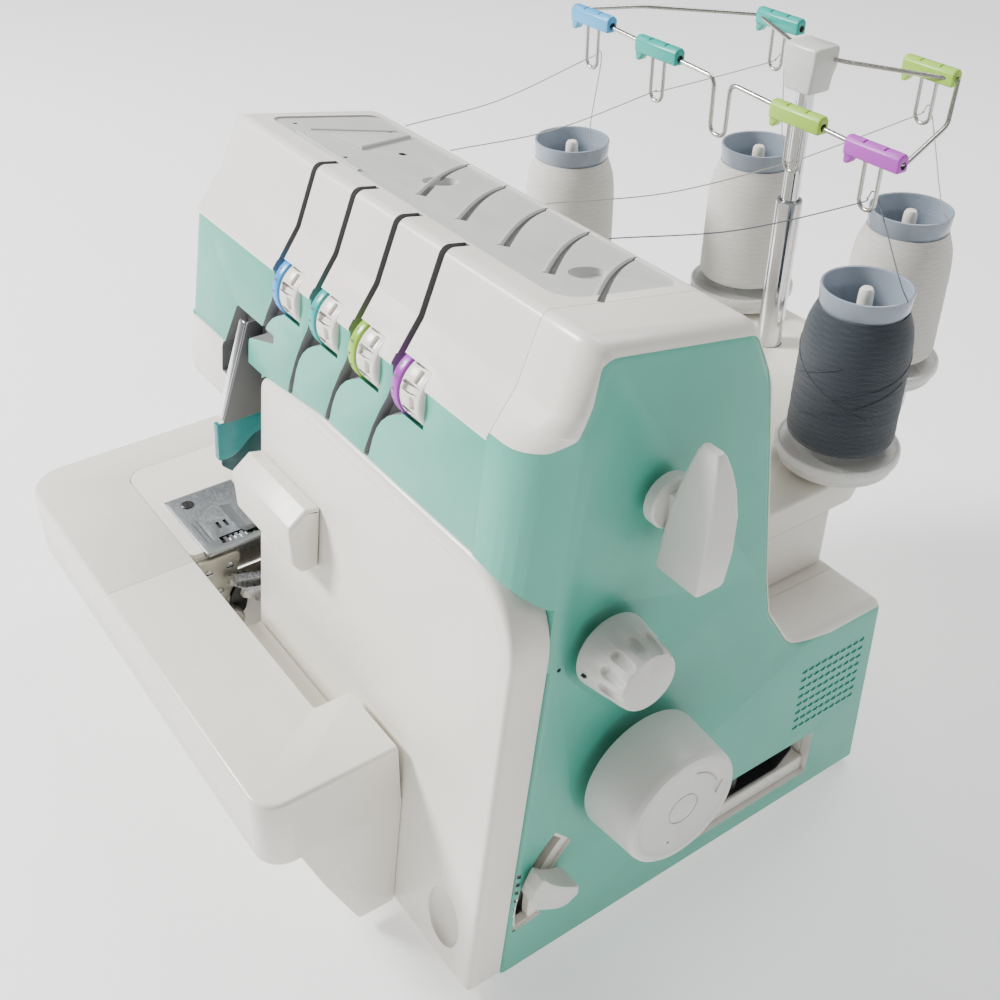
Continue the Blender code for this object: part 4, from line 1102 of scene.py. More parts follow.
def make_needle_plate(steel, dark):
    """Steel plate with the needle and feed dog slots, two fine lines and a screw."""
    outline = filleted([(-263, -19, 1.5), (-213, -19, 1.5), (-213, 17, 1.5), (-263, 17, 1.5)], 3)
    plate = slab("throat_plate", outline, "Z", 89.8, BED_Z, steel, 0.5, 2, False)
    cuts = [
        block("slot", (-232.4, 10, 80), (-223.6, 14, 100), dark),
        block("slot", (-222.2, -9, 80), (-216.8, 12, 100), dark),
        block("slot", (-234.0, -5.4, 90.9), (-228.6, -3.8, 100), dark),
        block("slot", (-234.0, -1.6, 90.9), (-228.6, 0.0, 100), dark),
    ]
    for y in (-15.0, -12.5):
        cuts.append(block("line", (-240.0, y, 91.75), (-222.0, y + 0.35, 93), dark))
    boolean(plate, [joined(cuts)])
    head = screw((-255.0, -10.5, BED_Z), 3.3, "Z", dark, dark)
    return piece(joined([soften(plate, 0.2, 2), head]), "machine", "plate_steel", "needle_plate")


def make_looper_bracket(cream, dark, steel):
    """Bracket, black yoke and roller in the looper bay."""
    plate = slab("looper_bracket", filleted([
        (-25, 88, 2), (-2, 88, 3), (-6, 74, 3), (-13, 60, 4), (-21, 62, 4), (-25, 76, 2),
    ], 4), "X", -215.7, -212.6, cream, 0.5, 2)
    heads = [screw((-212.6, y, z), 2.0, "X", steel, dark)
             for y, z in ((-20, 81), (-9, 81), (-16, 68))]
    yoke = slab("yoke", filleted([(-10, 62, 3), (-3, 74, 3), (2, 70, 3), (-4, 50, 4), (-12, 48, 4)], 3),
                "X", -215.5, -213.0, dark, 0.4, 2)
    roller = turned("roller", (-214.5, -14, 50), [
        (2.0, 0.0), (7.0, 0.0), (7.6, 0.8), (7.6, 5.4), (7.0, 6.2), (3.4, 6.2), (3.0, 5.0), (2.0, 5.0),
    ], "X", 36, cream, closed=True)
    hub = turned("hub", (-214.5, -14, 50), [(0.0, -1.0), (1.9, -1.0), (1.9, 5.6), (0.0, 5.6)],
                 "X", 24, dark)
    return piece(joined([plate, *heads, yoke, roller, hub]), "machine", "cream")


def make_face_plate(chrome, grey):
    """Bright strip on the head, leaning forward, with a web behind its right edge."""
    strip = [(10.0, 211.0), (-6.2, 168.0), (-4.9, 166.0), (12.0, 211.0)]
    face = prism("face_strip", strip, "X", -208.4, -203.7, chrome)
    web = prism("face_web", filleted([
        (10.8, 211.0, 1), (-6.2, 166.2, 1), (14.0, 166.2, 4), (26.0, 205.0, 3), (22.0, 211.0, 2),
    ], 3), "X", -203.4, -202.0, grey)
    plate = joined([soften(face, 0.7, 3), soften(web, 0.4, 2)])
    return piece(plate, "machine", "chrome", "face_plate")


def make_eye_guard(tinted, inner):
    """Clear guard: a side leaf with a waved foot, a darker inner leaf and a narrow front lip."""
    wave = []
    for step in range(13):
        share = step / 12
        sway = 1.6 * math.sin(2 * math.pi * share)
        wave.append((-8.0 + 22.0 * share, 147.0 + 9.0 * share - sway))
    leaf = prism("eye_shield", [(-6.6, 165.4), *wave, (14.0, 164.4), (12.8, 165.4)],
                 "X", -205.0, -203.6, tinted)
    lip = prism("lip", [(-6.6, 165.4), (-8.0, 147.0), (-10.0, 147.4), (-8.6, 165.4)],
                "X", -207.6, -203.6, tinted)
    boolean(leaf, [lip], "UNION")
    foot = prism("guard_foot", filleted([
        (-7.6, 152.0), (-8.2, 143.0, 2), (-3.0, 137.6, 3), (4.0, 140.4, 4), (13.6, 145.0, 2),
        (13.6, 160.0), (0.0, 156.0),
    ], 4), "X", -206.8, -205.2, inner)
    guard = joined([soften(leaf, 0.5, 2), soften(foot, 0.4, 2)])
    return piece(guard, "eye_guard", "tinted_clear", "eye_guard")


# ------------------------------------------------------------------ controls

def spun(thing, centre, degrees):
    """Turn a shape about the X axis through centre (y, z)."""
    origin = Matrix.Translation((0, *centre))
    turn = Matrix.Rotation(math.radians(degrees), 4, "X")
    thing.data.transform(origin @ turn @ origin.inverted())
    return thing


def make_dial(index, slot, white, dark, ring_look):
    """Tension dial: coloured, marked ring and a white grip with pockets."""
    low = slot + 1.8
    y, z = DIAL_CENTRE
    ring = turned(f"tension_ring_{index}", (low, y, z), [
        (4.0, 0.0), (13.2, 0.0), (13.8, 0.25), (14.0, 0.8), (14.0, 3.7), (13.8, 4.25), (13.2, 4.5),
        (4.0, 4.5),
    ], "X", 72, ring_look, closed=True)
    marks = []
    for step in range(18):
        long = 1.4 if step % 3 else 2.03
        mark = block("mark", (low + 1.0, y - 0.45, z + 13.7),
                     (low + 1.0 + long, y + 0.45, z + 14.06), dark)
        marks.append(spun(mark, DIAL_CENTRE, 20 * step + 4))
    ring = joined([ring, *marks])
    piece(ring, f"tension_dial_{index}", COLOUR_SLOTS[index - 1], f"dial_ring_{index}")
    grip = turned(f"tension_grip_{index}", (low, y, z), [
        (0.0, 4.8), (12.9, 4.8), (13.2, 5.1), (13.2, 16.2), (12.9, 17.0), (12.2, 17.5), (9.0, 17.5),
        (8.6, 16.9), (0.0, 16.9),
    ], "X", 72, white)
    pockets = []
    for step in range(8):
        bottom = z + 11.9
        wide = block("pocket", (low + 11.2, y - 2.6, bottom), (low + 15.0, y + 2.6, z + 15), white)
        long = block("pocket", (low + 6.4, y - 1.7, bottom), (low + 10.4, y + 1.7, z + 15), white)
        pockets.append(spun(wide, DIAL_CENTRE, 45 * step))
        pockets.append(spun(long, DIAL_CENTRE, 45 * step + 22.5))
    boolean(grip, [joined(pockets)])
    dots = [spun(block("dot", (low + 7.6, y - 0.7, z + 11.8), (low + 9.2, y + 0.7, z + 12.15), dark),
                 DIAL_CENTRE, 45 * step + 22.5) for step in range(0, 8, 2)]
    grip = joined([soften(grip, 0.35, 2), *dots])
    return piece(grip, f"tension_dial_{index}", "white", f"dial_{index}")


def make_handwheel(white, dark):
    """Handwheel drum with an engraved circle and a curved turning arrow."""
    front = 30.6
    y, z = WHEEL_CENTRE
    wheel = turned("wheel_drum", (0, y, z), [
        (0.0, 4.5), (27.0, 4.5), (27.8, 4.9), (28.0, 5.8), (26.35, 28.0), (25.9, 29.5), (24.9, 30.4),
        (23.6, 30.6), (22.0, 30.45), (20.5, 30.1), (0.0, 29.9),
    ], "X", 96, white)
    groove = [(6.7, -0.5), (7.4, -0.5), (7.4, 4), (6.7, 4)]
    boolean(wheel, [turned("circle", (front - 0.7, y, z), groove, "X", 64, white, closed=True)])
    bow = 17.2
    arrow = arc_band((y, z), bow + 0.4, bow - 0.4, 12, 74, 18)
    tip = [(y + bow * math.cos(0.16) + 3.4, z + bow * math.sin(0.16) + 1.6),
           (y + bow * math.cos(0.05), z + bow * math.sin(0.05) - 3.4),
           (y + bow * math.cos(0.16) - 3.2, z + bow * math.sin(0.16) + 1.6)]
    for name, outline in (("arrow", arrow), ("tip", tip)):
        boolean(wheel, [prism(name, outline, "X", front - 1.2, 34, white)])
    dot = turned("dot", (front - 1.3, y - 6, z - 15.5), [(0.55, 0.0), (0.55, 4)], "X", 12, dark)
    boolean(wheel, [dot])
    return piece(soften(wheel, 0.18, 2), "handwheel", "white", "handwheel")


def make_stitch_dial(white, dark):
    """Conical dial with rounded flutes round its end and a pointer mark."""
    y, z = STITCH_CENTRE
    dial = turned("stitch_dial", (0, y, z), [
        (0.0, -6.0), (3.6, -6.0), (3.6, 2.7), (14.9, 2.7), (15.3, 3.1), (15.3, 4.2), (15.1, 5.6),
        (12.9, 20.5), (12.3, 23.0), (11.7, 24.1), (10.8, 24.4), (0.0, 24.4),
    ], "X", 84, white)
    capsule = [(0.0, 13.3), (1.3, 13.7), (2.1, 14.6), (2.45, 15.8), (2.45, 30.0), (0.0, 30.0)]
    flutes = []
    for step in range(12):
        a = math.radians(30 * step + 8)
        centre = (0, y + 14.0 * math.cos(a), z + 14.0 * math.sin(a))
        flutes.append(turned("flute", centre, capsule, "X", 20, white))
    boolean(dial, [joined(flutes)])
    dial = soften(dial, 0.35, 2, 30)
    pointer = [(y - 1.0, z + 14.0), (y + 1.0, z + 14.0), (y, z + 16.0)]
    mark = spun(prism("pointer", pointer, "X", 6.3, 8.3, dark), STITCH_CENTRE, 96)
    return piece(joined([dial, mark]), "stitch_dial", "white", "stitch_length_dial")


def make_lifter(white):
    """Presser lifter: round hub and an upright wedge-shaped wing."""
    hub = turned("lifter_lever", (0, *LIFTER_CENTRE), [
        (0.0, -6.0), (4.0, -6.0), (4.0, 3.0), (9.6, 3.0), (10.0, 3.4), (10.0, 7.2), (9.2, 8.0), (0.0, 8.2),
    ], "X", 56, white)
    rings = []
    for z, left, right, front, back in (
        (195.8, 8.0, 26.6, 59.6, 69.6), (196.3, 7.0, 27.6, 58.6, 70.6), (198.0, 6.7, 28.2, 58.2, 71.0),
        (211.0, 8.6, 29.6, 58.2, 71.6), (226.0, 11.4, 30.0, 58.3, 71.2), (237.0, 14.4, 30.0, 58.6, 69.0),
        (245.0, 17.0, 29.7, 58.8, 66.4), (251.0, 19.2, 29.2, 59.0, 63.8), (252.8, 20.4, 28.4, 59.6, 62.6),
    ):
        corners = [(left, front, 1.6), (right, front, 1.2), (right, back, 1.6), (left, back, 1.6)]
        rings.append(lifted(filleted(corners, 4), "Z", z))
    root = slab("root", rectangle((61.0, 214.0), (69.0, 226.0)), "X", 3.4, 16.0, white, 0.4, 2)
    for part in (root, loft("wing", rings, white)):
        boolean(hub, [part], "UNION")
    return piece(soften(hub, 0.6, 3, 34), "lifter", "white", "presser_lifter")


def along_lever(points):
    """Points given along and across the feed lever, counted from its pivot."""
    turn = Matrix.Rotation(-math.radians(FEED_REST), 2)
    return [tuple(Vector(FEED_PIVOT) + Vector(point) @ turn) for point in points]


def make_feed_lever(white):
    """Differential feed lever: beaked handle with a hollowed top, on an arm."""
    handle = filleted([
        (11.2, 55.5, 2), (15.0, 63.0, 2), (29.6, 51.0, 1), (29.4, 47.0, 1.5), (22.0, 41.0, 7),
        (13.0, 43.5, 4), (10.0, 50.0, 3),
    ], 6)
    near = 1.0                     # x of the handle's flat side
    lever = slab("feed_handle", handle, "X", near, 13.0, white, 1.0, 3)
    for vertex in lever.data.vertices:
        reach = min(1.0, max(0.0, (vertex.co.y - 7.0) / 19.0))
        vertex.co.x = near + (vertex.co.x - near) * (0.45 + 0.55 * reach)
    hollow = turned("hollow", (0.0, 33.6, 73.4), [(22.0, -1.0), (22.0, 20.0)], "X", 96, white)
    boolean(lever, [hollow])
    neck = along_lever([(48, -3.5), (53.5, -3.5), (53.5, 3.5), (48, 3.5)])
    arm = along_lever(filleted([(-5, -5, 4), (53.5, -3.5), (53.5, 3.5), (-5, 5, 4)], 3))
    for name, outline, low, high in (("neck", neck, -8.5, 2.0), ("arm", arm, -9.0, -6.0)):
        boolean(lever, [prism(name, outline, "X", low, high, white)], "UNION")
    return piece(soften(lever, 0.5, 2), "feed_lever", "white", "feed_lever")


def make_feed_liner(look):
    """Light strip closing the feed lever's slot from inside."""
    band = arc_band(FEED_PIVOT, 59.0, 44.0, FEED_REST - 29.0, FEED_REST + 27.0, 14)
    return piece(soften(prism("feed_liner", band, "X", -11.2, -9.7, look), 0.3), "machine", "white")


def make_inlet(white, dark, steel):
    """White-lined power inlet with the black connector body in it."""
    tray = block("inlet_tray", (-19.0, 103.0, 9.3), (-5.9, 179.0, 38.0), white)
    room = rectangle((104.2, 10.7), (177.8, 36.8), 1.4, 3)
    boolean(tray, [prism("room", room, "X", -17.5, 2, white)])
    body = slab("inlet_body", filleted([
        (126.0, 36.6, 0.6), (126.0, 19.5, 1), (161.0, 19.5, 2), (170.0, 28.0, 2), (170.0, 36.6, 0.6),
    ], 3), "X", -17.4, -4.0, dark, 0.6, 2)
    socket = filleted([
        (127.2, 20.8, 0.8), (160.4, 20.8, 1.6), (168.6, 28.4, 1.6), (168.6, 35.6, 0.6), (127.2, 35.6, 0.6),
    ], 3)
    boolean(body, [prism("socket", socket, "X", -14.0, 0, dark)])
    pins = [block("pin", (-14.5, y, 28.5), (-9.5, y + 1.2, 32.5), steel)
            for y in (145.0, 150.5, 156.0)]
    piece(joined([body, *pins]), "machine", "black")
    ledge = block("ledge", (-17.4, 104.6, 10.9), (-3.0, 177.4, 19.0), white)
    inlet = joined([soften(tray, 0.3), soften(ledge, 0.8, 3)])
    return piece(inlet, "machine", "white", "power_inlet")


# --------------------------------------------------- thread stand and threads

def make_stand(cream, dark):
    """Cream stand block and slab with seats for the pins and the pole."""
    outline = filleted([
        (-250, 137, 4), (-34, 137, 4), (-34, 216, 11.5), (-77, 305, 11.5), (-199, 305, 11.5),
        (-258, 220, 11.5),
    ], 10)
    plate = slab("stand_plate", outline, "Z", 133.0, 148.0, cream, 1.8, 4)
    foot = rectangle((-248, 163), (-34, 205), 4, 5)
    boolean(plate, [slab("stand_base", foot, "Z", 104.9, 134.0, cream, 0.8, 2)], "UNION")
    holes = [(x, y, 5.5, 140, 36) for x, y in CONES]
    holes += [(*POLE, 6.8, 137, 36), (-50.0, 160.0, 2.4, 144, 24), (-234.0, 160.0, 2.4, 144, 24)]
    boolean(plate, [joined([
        turned("seat", (x, y, 0), [(radius, bottom), (radius, 160)], "Z", sides, dark)
        for x, y, radius, bottom, sides in holes
    ])])
    return piece(soften(plate, 0.5, 2, 34), "machine", "cream", "spool_stand")


def make_rest(index, x, y, milky, cream):
    """Two-step cone rest in milky plastic with its cream pin."""
    rest = turned(f"cone_rest_{index}", (x, y, 0), [
        (0.0, 141.0), (5.2, 141.0), (5.2, 148.3), (12.2, 148.3), (12.2, 149.4), (24.4, 150.4),
        (25.4, 151.0), (25.6, 152.0), (25.7, 153.6), (26.4, 154.2), (27.0, 154.8), (27.5, 155.6),
        (27.5, 158.4), (27.1, 159.1), (26.2, 159.3), (25.4, 158.7), (24.6, 158.3), (9.0, 158.6),
        (8.6, 162.6), (6.6, 163.2), (0.0, 163.2),
    ], "Z", 72, milky)
    ribs = []
    for step in range(4):
        a = math.pi / 4 + math.pi / 2 * step
        spot = (x + 2.5 * math.cos(a), y + 2.5 * math.sin(a))
        ribs.append(tube("rib", [(*spot, 163.0), (*spot, 168.5)], 0.9, cream, 8, 0.4))
    pin = turned("pin", (x, y, 0), [
        (0.0, 162.0), (4.0, 162.0), (3.5, 170.0), (3.2, 230.0), (3.0, 232.4), (2.3, 233.6),
        (1.2, 233.8), (0.0, 233.8),
    ], "Z", 32, cream)
    cross = block("cross", (x - 5, y - 0.4, 233.0), (x + 5, y + 0.4, 238), cream)
    boolean(pin, [cross])
    return piece(joined([rest, pin, *ribs]), "machine", "spool_rest", f"spool_pin_{index}")


def thread_slot(index):
    """Material slot of a cone's thread."""
    return "thread_dark" if index == DARK_CONE else "thread_white"


def make_cone(index, x, y, thread, rim_look):
    """Winding with an uneven build-up on a milky tube whose rim stands out."""
    draw = random.Random(40 + index)
    profile = [(17.4, 164.2), (22.3, 164.0), (23.1, 165.2), (23.4, 167.0)]
    steps = 34
    for step in range(1, steps):
        share = step / steps
        profile.append((23.4 - 0.35 * share + draw.uniform(-0.10, 0.10), 167.0 + 39.0 * share))
    profile += [(23.0, 206.0), (22.9, 209.0), (22.5, 213.5), (21.8, 217.5), (20.7, 220.8),
                (19.6, 223.6), (18.8, 225.8), (17.8, 225.6)]
    wound = turned(f"winding_{index}", (x, y, 0), profile, "Z", 96, thread, closed=True)
    if index == DARK_CONE:
        wound = joined([wound, *loose_turns(x, y, thread)])
    piece(wound, f"cone_{index}", thread_slot(index), f"thread_cone_{index}")
    rim = turned(f"cone_tube_{index}", (x, y, 0), [
        (15.6, 164.4), (17.2, 164.4), (17.3, 224.0), (18.3, 226.6), (18.75, 227.4), (19.2, 233.9),
        (19.1, 234.5), (18.5, 234.7), (17.9, 234.4), (17.6, 233.6), (17.1, 227.0), (15.8, 221.0),
    ], "Z", 72, rim_look, closed=True)
    return piece(rim, f"cone_{index}", "spool_rest")


def loose_turns(x, y, look):
    """A few strands crossing the winding on the slant."""
    strands = []
    for start, rise, low in (
        (-1.9, 20.0, 178.0), (-2.6, -24.0, 208.0), (-1.2, 15.0, 192.0), (-3.2, 24.0, 183.0),
    ):
        route = []
        for step in range(25):
            a = start + 2.1 * step / 24
            z = low + rise * step / 24
            radius = 23.5 - 0.009 * (z - 167.0)
            if z > 206:
                radius -= 0.035 * (z - 206.0) ** 1.6 * 0.5
            route.append((x + radius * math.cos(a), y + radius * math.sin(a), z))
        strands.append(tube("strand", route, 0.22, look, 6))
    return strands


def make_pole(chrome):
    """Outer tube on the stand and the inner pole that slides in it."""
    lower = turned("pole_lower", (*POLE, 0), [
        (4.6, 138.0), (6.0, 138.0), (6.4, 138.4), (6.4, 225.2), (6.0, 226.0), (4.9, 226.0), (4.6, 225.6),
    ], "Z", 64, chrome, closed=True)
    piece(lower, "machine", "chrome", "pole_outer")
    upper = turned("pole_upper", (*POLE, 0), [
        (0.0, 170.0), (4.3, 170.0), (4.3, 287.0), (0.0, 287.0),
    ], "Z", 56, chrome)
    return piece(upper, "thread_tree", "chrome", "pole_inner")


def front_point(x):
    """Point at x on the straight front wire."""
    return GUIDE_LEFT.lerp(GUIDE_RIGHT, (x - GUIDE_LEFT.x) / (GUIDE_RIGHT.x - GUIDE_LEFT.x))


def clip_places():
    """Middles of the six clips: four on the front wire, two on the rear one."""
    front = [front_point(x) for x in (-231.0, -183.5, -97.0, -55.5)]
    return front + [Vector((x, *GUIDE_REAR)) for x in (-185.0, -94.5)]


def make_guides(wire, milky, dark, colours):
    """Wire frame on the pole's head block, with loops and coloured clips."""
    x, y = POLE
    rear_y, rear_z = GUIDE_REAR
    dip = front_point(x)
    route = bent([
        (-199, rear_y, rear_z), (-236, 250, rear_z + 2), GUIDE_LEFT, dip + Vector((-5, 0, 0)),
        dip + Vector((-4.6, 0, -24)), dip + Vector((4.6, 0, -24)), dip + Vector((5, 0, 0)), GUIDE_RIGHT,
        (-50, 250, rear_z - 2), (-80, rear_y, rear_z),
    ], 4.4, 6)
    rear = bent([(-200, rear_y, rear_z), (x - 10, y + 4, 294), (x + 10, y + 4, 294),
                 (-79, rear_y, rear_z)], 8)
    parts = [tube("guide_wires", route, 1.0, wire, 14), tube("rear", rear, 1.0, wire, 14)]
    reach = 4
    for place in clip_places():
        loop = [place + Vector((-reach, 0, 0))]
        for step in range(13):
            a = math.radians(180 + 15 * step)
            side = place.x + reach * math.cos(a)
            loop.append((side, place.y, place.z - 19 + reach * math.sin(a)))
        loop.append(place + Vector((reach, 0, 0)))
        parts.append(tube("loop", loop, 0.9, wire, 12))
    piece(joined(parts), "thread_tree", "wire", "guide_bar")

    rings = []
    for z, a, b in ((279.0, 7.6, 6.4), (279.6, 8.2, 7.0), (286.0, 8.8, 7.3), (291.0, 9.9, 7.9),
                    (298.6, 10.0, 8.0), (299.6, 9.5, 7.5), (300.0, 8.6, 6.8)):
        rings.append([(x + u, y + v, z) for u, v in rectangle((-a, -b), (a, b), 1.6, 4)])
    head = loft("pole_head", rings, milky)
    boolean(head, [turned("socket", (*POLE, 0), [(4.6, 270.0), (4.6, 287.3)], "Z", 40, milky)])
    piece(soften(head, 0.4), "thread_tree", "white")

    slots = COLOUR_SLOTS + COLOUR_SLOTS[1:3]
    for number, (place, slot) in enumerate(zip(clip_places(), slots), start=1):
        make_clip(number, place, colours[slot], dark, slot)


def make_clip(number, place, look, dark, slot):
    """Snap-on clip: ribbed bar with a hook at its left end and a hex socket at its right."""
    px, py, pz = place
    section = filleted([(-3, -3.4, 0.8), (3, -3.4, 0.8), (3, 2.2, 1.2), (1.4, 4, 1.2), (-1.4, 4, 1.2),
                        (-3, 2.2, 1.2)], 3)
    bar = slab(f"thread_clip_{number}", [(py + a, pz + b) for a, b in section],
               "X", px - 14, px + 14, look, 0.9, 3)
    hook = filleted([(px - 13.8, pz - 2), (px - 13.6, pz - 7.2, 1), (px - 11.4, pz - 7.0, 0.8),
                     (px - 8.2, pz - 2.6)], 3)
    boolean(bar, [slab("hook", hook, "Y", py - 2.2, py + 2.2, look, 0.5, 2)], "UNION")
    hexagon = ellipse((py, pz - 0.4), 1.7, 1.7, 6)
    cuts = [prism("hex", hexagon, "X", px + 12.2, px + 16, dark)]
    for x in (px - 5.0, px + 5.6):
        cuts.append(block("notch", (x - 0.5, py - 4, pz + 3.3), (x + 0.5, py + 4, pz + 6), look))
    boolean(bar, [joined(cuts)])
    return piece(soften(bar, 0.3, 2), "thread_tree", slot)


def make_threads(looks):
    """Each thread from its cone through its guide loops to the top of the arm."""
    blue, turquoise, lime, violet, rear_left, rear_right = clip_places()
    paths = ((blue,), (rear_left, turquoise), (rear_right, lime), (violet,))
    holes = (-213.0, -178.0, -112.0, -74.0)
    steps = 8
    for number, ((x, y), clips, hole_x) in enumerate(zip(CONES, paths, holes), start=1):
        slot = thread_slot(number)
        look = looks[slot]
        stops = [Vector((x + 20.6, y, 235.7)), Vector((x + 15.0, y - 1.0, 243.7))]
        marks = []
        for clip in clips:
            loop = clip + Vector((0, 0, -18.0))
            stops += [loop + Vector((0, 6, -1)), loop, loop + Vector((0, -6, -1))]
            marks.append(len(stops) - 2)
        hole = Vector((hole_x, 99.0, 275.2))
        stops += [(hole + stops[-1]) / 2 + Vector((0, 0, -4)), hole]
        route = curved(stops, steps)
        first = marks[0] * steps
        last = marks[-1] * steps
        rise = tube(f"thread_rise_{number}", route[:first + 1], 0.25, look, 8)
        fall = tube(f"thread_fall_{number}", route[last:], 0.25, look, 8)
        for thing in (rise, fall):
            thing.data.transform(PLACE)
            thing.data.shade_smooth()
        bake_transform(rise)
        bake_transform(fall)
        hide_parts(f"thread_{number}")
        if last > first:
            cross = tube(f"thread_cross_{number}", route[first:last + 1], 0.25, look, 8)
            piece(cross, "thread_tree", slot)


# ---------------------------------------------------------------------- stage

def make_camera():
    """Three-quarter view from the right front, a little above the machine."""
    right = Vector((0.57783, 0.81612, 0.00770))
    down = Vector((0.48536, -0.33603, -0.80716))
    ahead = Vector((-0.65615, 0.47014, -0.59028))
    data = bpy.data.cameras.new("camera")
    data.sensor_width = 36.0
    data.lens = 45.764
    data.clip_start = 0.01
    camera = bpy.data.objects.new("camera", data)
    bpy.context.scene.collection.objects.link(camera)
    turn = Matrix((right, -down, -ahead)).transposed().to_4x4()
    camera.matrix_world = Matrix.Translation((0.3966, -0.3055, 0.4742)) @ turn
    bpy.context.scene.camera = camera


def area_light(name, place, target, size, power):
    """Round soft light at a place, aimed at the target."""
    data = bpy.data.lights.new(name, "AREA")
    data.shape = "DISK"
    data.size = size
    data.energy = power
    light = bpy.data.objects.new(name, data)
    bpy.context.scene.collection.objects.link(light)
    light.location = place
    light.rotation_euler = (Vector(target) - Vector(place)).to_track_quat("-Z", "Y").to_euler()


def make_stage():
    """Bright floor, even surroundings and three soft lights."""
    floor_look = plastic("stage_floor", (0.92, 0.92, 0.92), 0.7, 0.0, 0.99)
    shader_of(floor_look).inputs["Emission Color"].default_value = (1.0, 1.0, 1.0, 1.0)
    shader_of(floor_look).inputs["Emission Strength"].default_value = 0.5
    corners = [(-6, -6, 0), (6, -6, 0), (6, 6, 0), (-6, 6, 0)]
    floor = mesh_object("floor", corners, [(0, 1, 2, 3)], floor_look)
    floor.location.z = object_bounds()[0][2] - 0.0002
    world = bpy.data.worlds.new("studio")
    world.use_nodes = True
    world.node_tree.nodes["Background"].inputs["Color"].default_value = (1.0, 1.0, 1.0, 1.0)
    world.node_tree.nodes["Background"].inputs["Strength"].default_value = 0.36
    bpy.context.scene.world = world
    middle = (0.0, 0.0, 0.15)
    area_light("key", (-1.15, -1.15, 1.35), middle, 0.6, 82.0)
    area_light("side", (1.2, 0.9, 1.1), middle, 0.8, 2.5)
    area_light("rear", (-0.2, 0.8, 1.6), middle, 0.9, 14.0)


# ---------------------------------------------------------- carried-over parts

def dress(name, look, width):
    """New material on a CAD part that shows as it is, its edges rounded by width in mm."""
    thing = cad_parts[name]
    for slot in thing.material_slots:
        slot.material = look
    if not thing.material_slots:
        thing.data.materials.append(look)
    if width:
        rounding = thing.modifiers.new("rounding", "BEVEL")
        rounding.width = width * MM
        rounding.segments = 2
        rounding.limit_method = "ANGLE"
        rounding.angle_limit = math.radians(32)


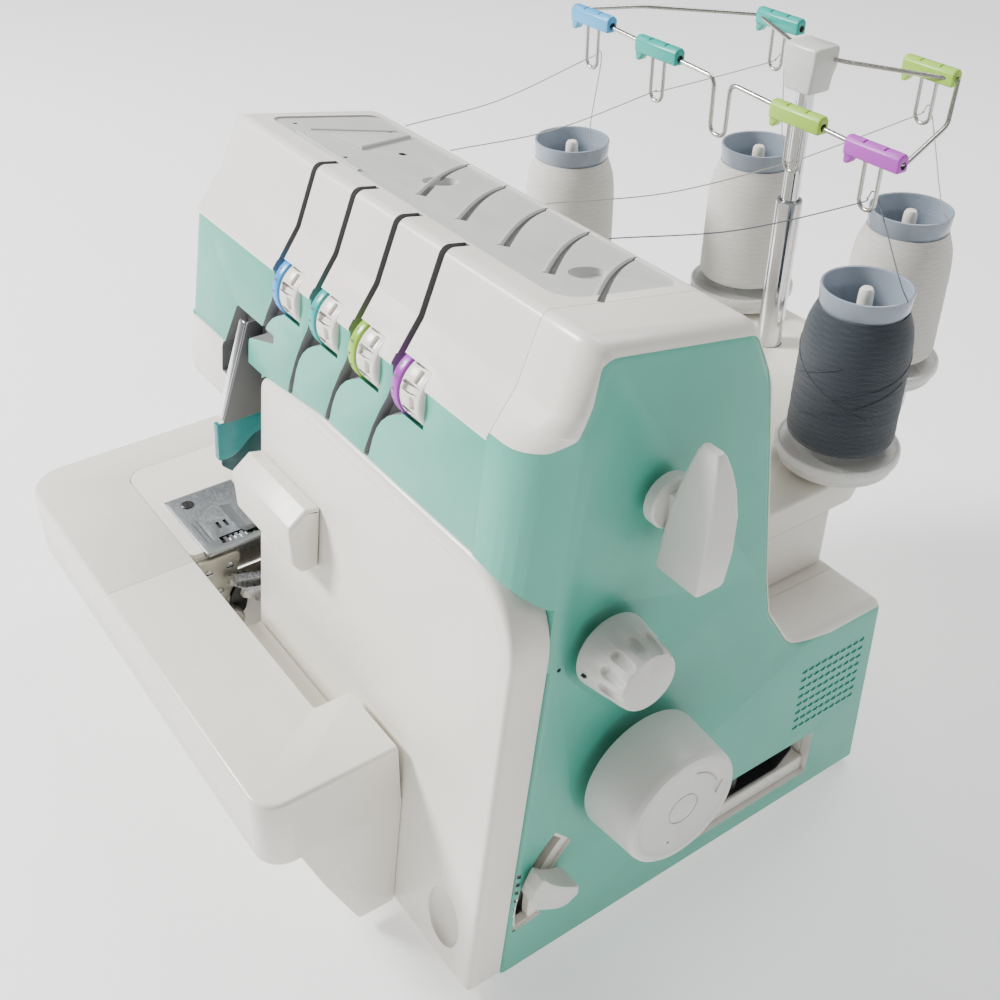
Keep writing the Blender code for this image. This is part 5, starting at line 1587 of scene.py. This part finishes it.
def main():
    """Camera, materials, every piece, and the stage."""
    make_camera()
    white = plastic("white_shell", WHITE, 0.32, 0.05, 0.96, 0.15)
    top_grey = plastic("top_field", TOP_GREY, 0.5, 0.12)
    mint = plastic("mint_shell", MINT, 0.36, 0.05, 0.94, 0.1)
    cream = plastic("cream_shell", CREAM, 0.38, 0.06)
    shade = plastic("groove_shade", SHADE, 0.55, 0.1)
    slit_shade = plastic("slit_shade", (0.17, 0.165, 0.165), 0.55, 0.1)
    arc_shade = plastic("arc_shade", (0.27, 0.27, 0.26), 0.5, 0.1)
    soft_shade = plastic("valley_shade", (0.20, 0.205, 0.205), 0.5, 0.08)
    grey = plastic("web_grey", (0.10, 0.103, 0.107), 0.4, 0.08)
    liner = plastic("liner_grey", (0.50, 0.50, 0.48), 0.45, 0.06)
    # Controls on the right end: the white darkened, as painted shade of that half-shaded end.
    control = plastic("control_white_painted_shade", (0.670, 0.660, 0.625), 0.36, 0.06, 0.95)
    black = plastic("black_plastic", BLACK, 0.4, 0.1)
    rubber = plastic("sole_rubber", (0.05, 0.05, 0.05), 0.75, 0.3)
    steel = metal("drawn_steel", (0.62, 0.63, 0.64), 0.28, (1.0, 1.0, 0.08))
    plate_steel = metal("plate_steel", (0.50, 0.53, 0.55), 0.45, (0.5, 1.0, 1.0), 0.05)
    chrome = metal("chrome", (0.80, 0.81, 0.82), 0.10, (1.0, 1.0, 0.05), 0.03)
    wire = metal("guide_wire", (0.58, 0.57, 0.54), 0.22)
    casting = cast("casting", (0.42, 0.43, 0.44))
    bracket = cast("bracket_metal", (0.60, 0.57, 0.50))
    belt = plastic("belt_rubber", (0.02, 0.02, 0.02), 0.8, 0.4)
    milky = clear_plastic("milky_plastic", (0.74, 0.74, 0.71), 0.08, 0.25)
    rim = clear_plastic("tube_plastic", (0.36, 0.42, 0.50), 0.25, 0.2)
    tinted = guard_plastic("guard_tint", (0.0, 0.24, 0.25))
    inner_tint = guard_plastic("guard_inner", (0.0, 0.065, 0.075))
    lens = clear_plastic("lamp_lens", (0.85, 0.85, 0.82), 0.5, 0.15)
    rings = [plastic(f"dial_{slot}", colour, 0.28, 0.03)
             for slot, colour in zip(COLOUR_SLOTS, RINGS)]
    clips = {slot: plastic(f"clip_{slot}", colour, 0.34, 0.06)
             for slot, colour in zip(COLOUR_SLOTS, CLIPS)}

    make_side_panel(mint, shade, white)
    make_side_trim(white)
    make_upper(white, mint, shade, soft_shade, top_grey, slit_shade, arc_shade)
    make_rear(cream, shade)
    make_cover(white)
    make_chip_guard(white)
    make_table(white)
    make_needle_plate(plate_steel, black)
    make_looper_bracket(bracket, black, steel)
    make_face_plate(chrome, grey)
    make_eye_guard(tinted, inner_tint)
    for number, slot in enumerate(DIAL_SLOTS, start=1):
        make_dial(number, slot, white, shade, rings[number - 1])
    make_handwheel(control, shade)
    make_stitch_dial(control, black)
    make_lifter(control)
    make_feed_lever(control)
    make_feed_liner(liner)
    make_inlet(white, black, steel)
    make_stand(cream, shade)
    for number, (x, y) in enumerate(CONES, start=1):
        centre = PLACE @ Vector((x, y, 0.0))
        is_dark = number == DARK_CONE
        colour = (0.022, 0.034, 0.046) if is_dark else (0.80, 0.78, 0.73)
        thread = winding(f"winding_{number}", colour, centre, 0.30 if is_dark else 0.12)
        make_rest(number, x, y, milky, cream)
        make_cone(number, x, y, thread, rim)
    make_pole(chrome)
    make_guides(wire, milky, shade, clips)
    make_threads({
        "thread_white": plastic("strand_light", (0.42, 0.42, 0.41), 0.8, 0.2),
        "thread_dark": plastic("strand_dark", (0.12, 0.14, 0.16), 0.8, 0.2),
    })

    for name, look, width in (
        ("base_plate", cream, 0.8), ("frame_casting", casting, 0.8), ("bed_housing", white, 0.8),
        ("cloth_plate", white, 0.4), ("motor", casting, 0.6), ("drive_belt", belt, 0.2),
        ("lamp", lens, 0.5), ("main_shaft", steel, 0.0), ("motor_pulley", steel, 0.0),
        ("power_switch", black, 0.5), ("needle_bar", steel, 0.2), ("needle_clamp", steel, 0.0),
        ("presser_bar", steel, 0.2), ("presser_foot", plate_steel, 0.3), ("feed_dog", steel, 0.1),
        ("lower_looper", steel, 0.4), ("upper_looper", steel, 0.4), ("upper_knife", steel, 0.4),
    ):
        dress(name, look, width)
    for number, (x, y) in enumerate(((-278, -6), (-20, 24), (-20, 186), (-230, 186)), start=1):
        sole = turned(f"foot_sole_{number}", (x, y, 0), [
            (0.0, -5.0), (8.6, -5.0), (9.3, -4.2), (9.5, -2.0), (9.4, 0.1), (9.1, 0.1), (0.0, -4.8),
        ], "Z", 40, rubber)
        piece(sole, "machine", "black")
    make_stage()


main()
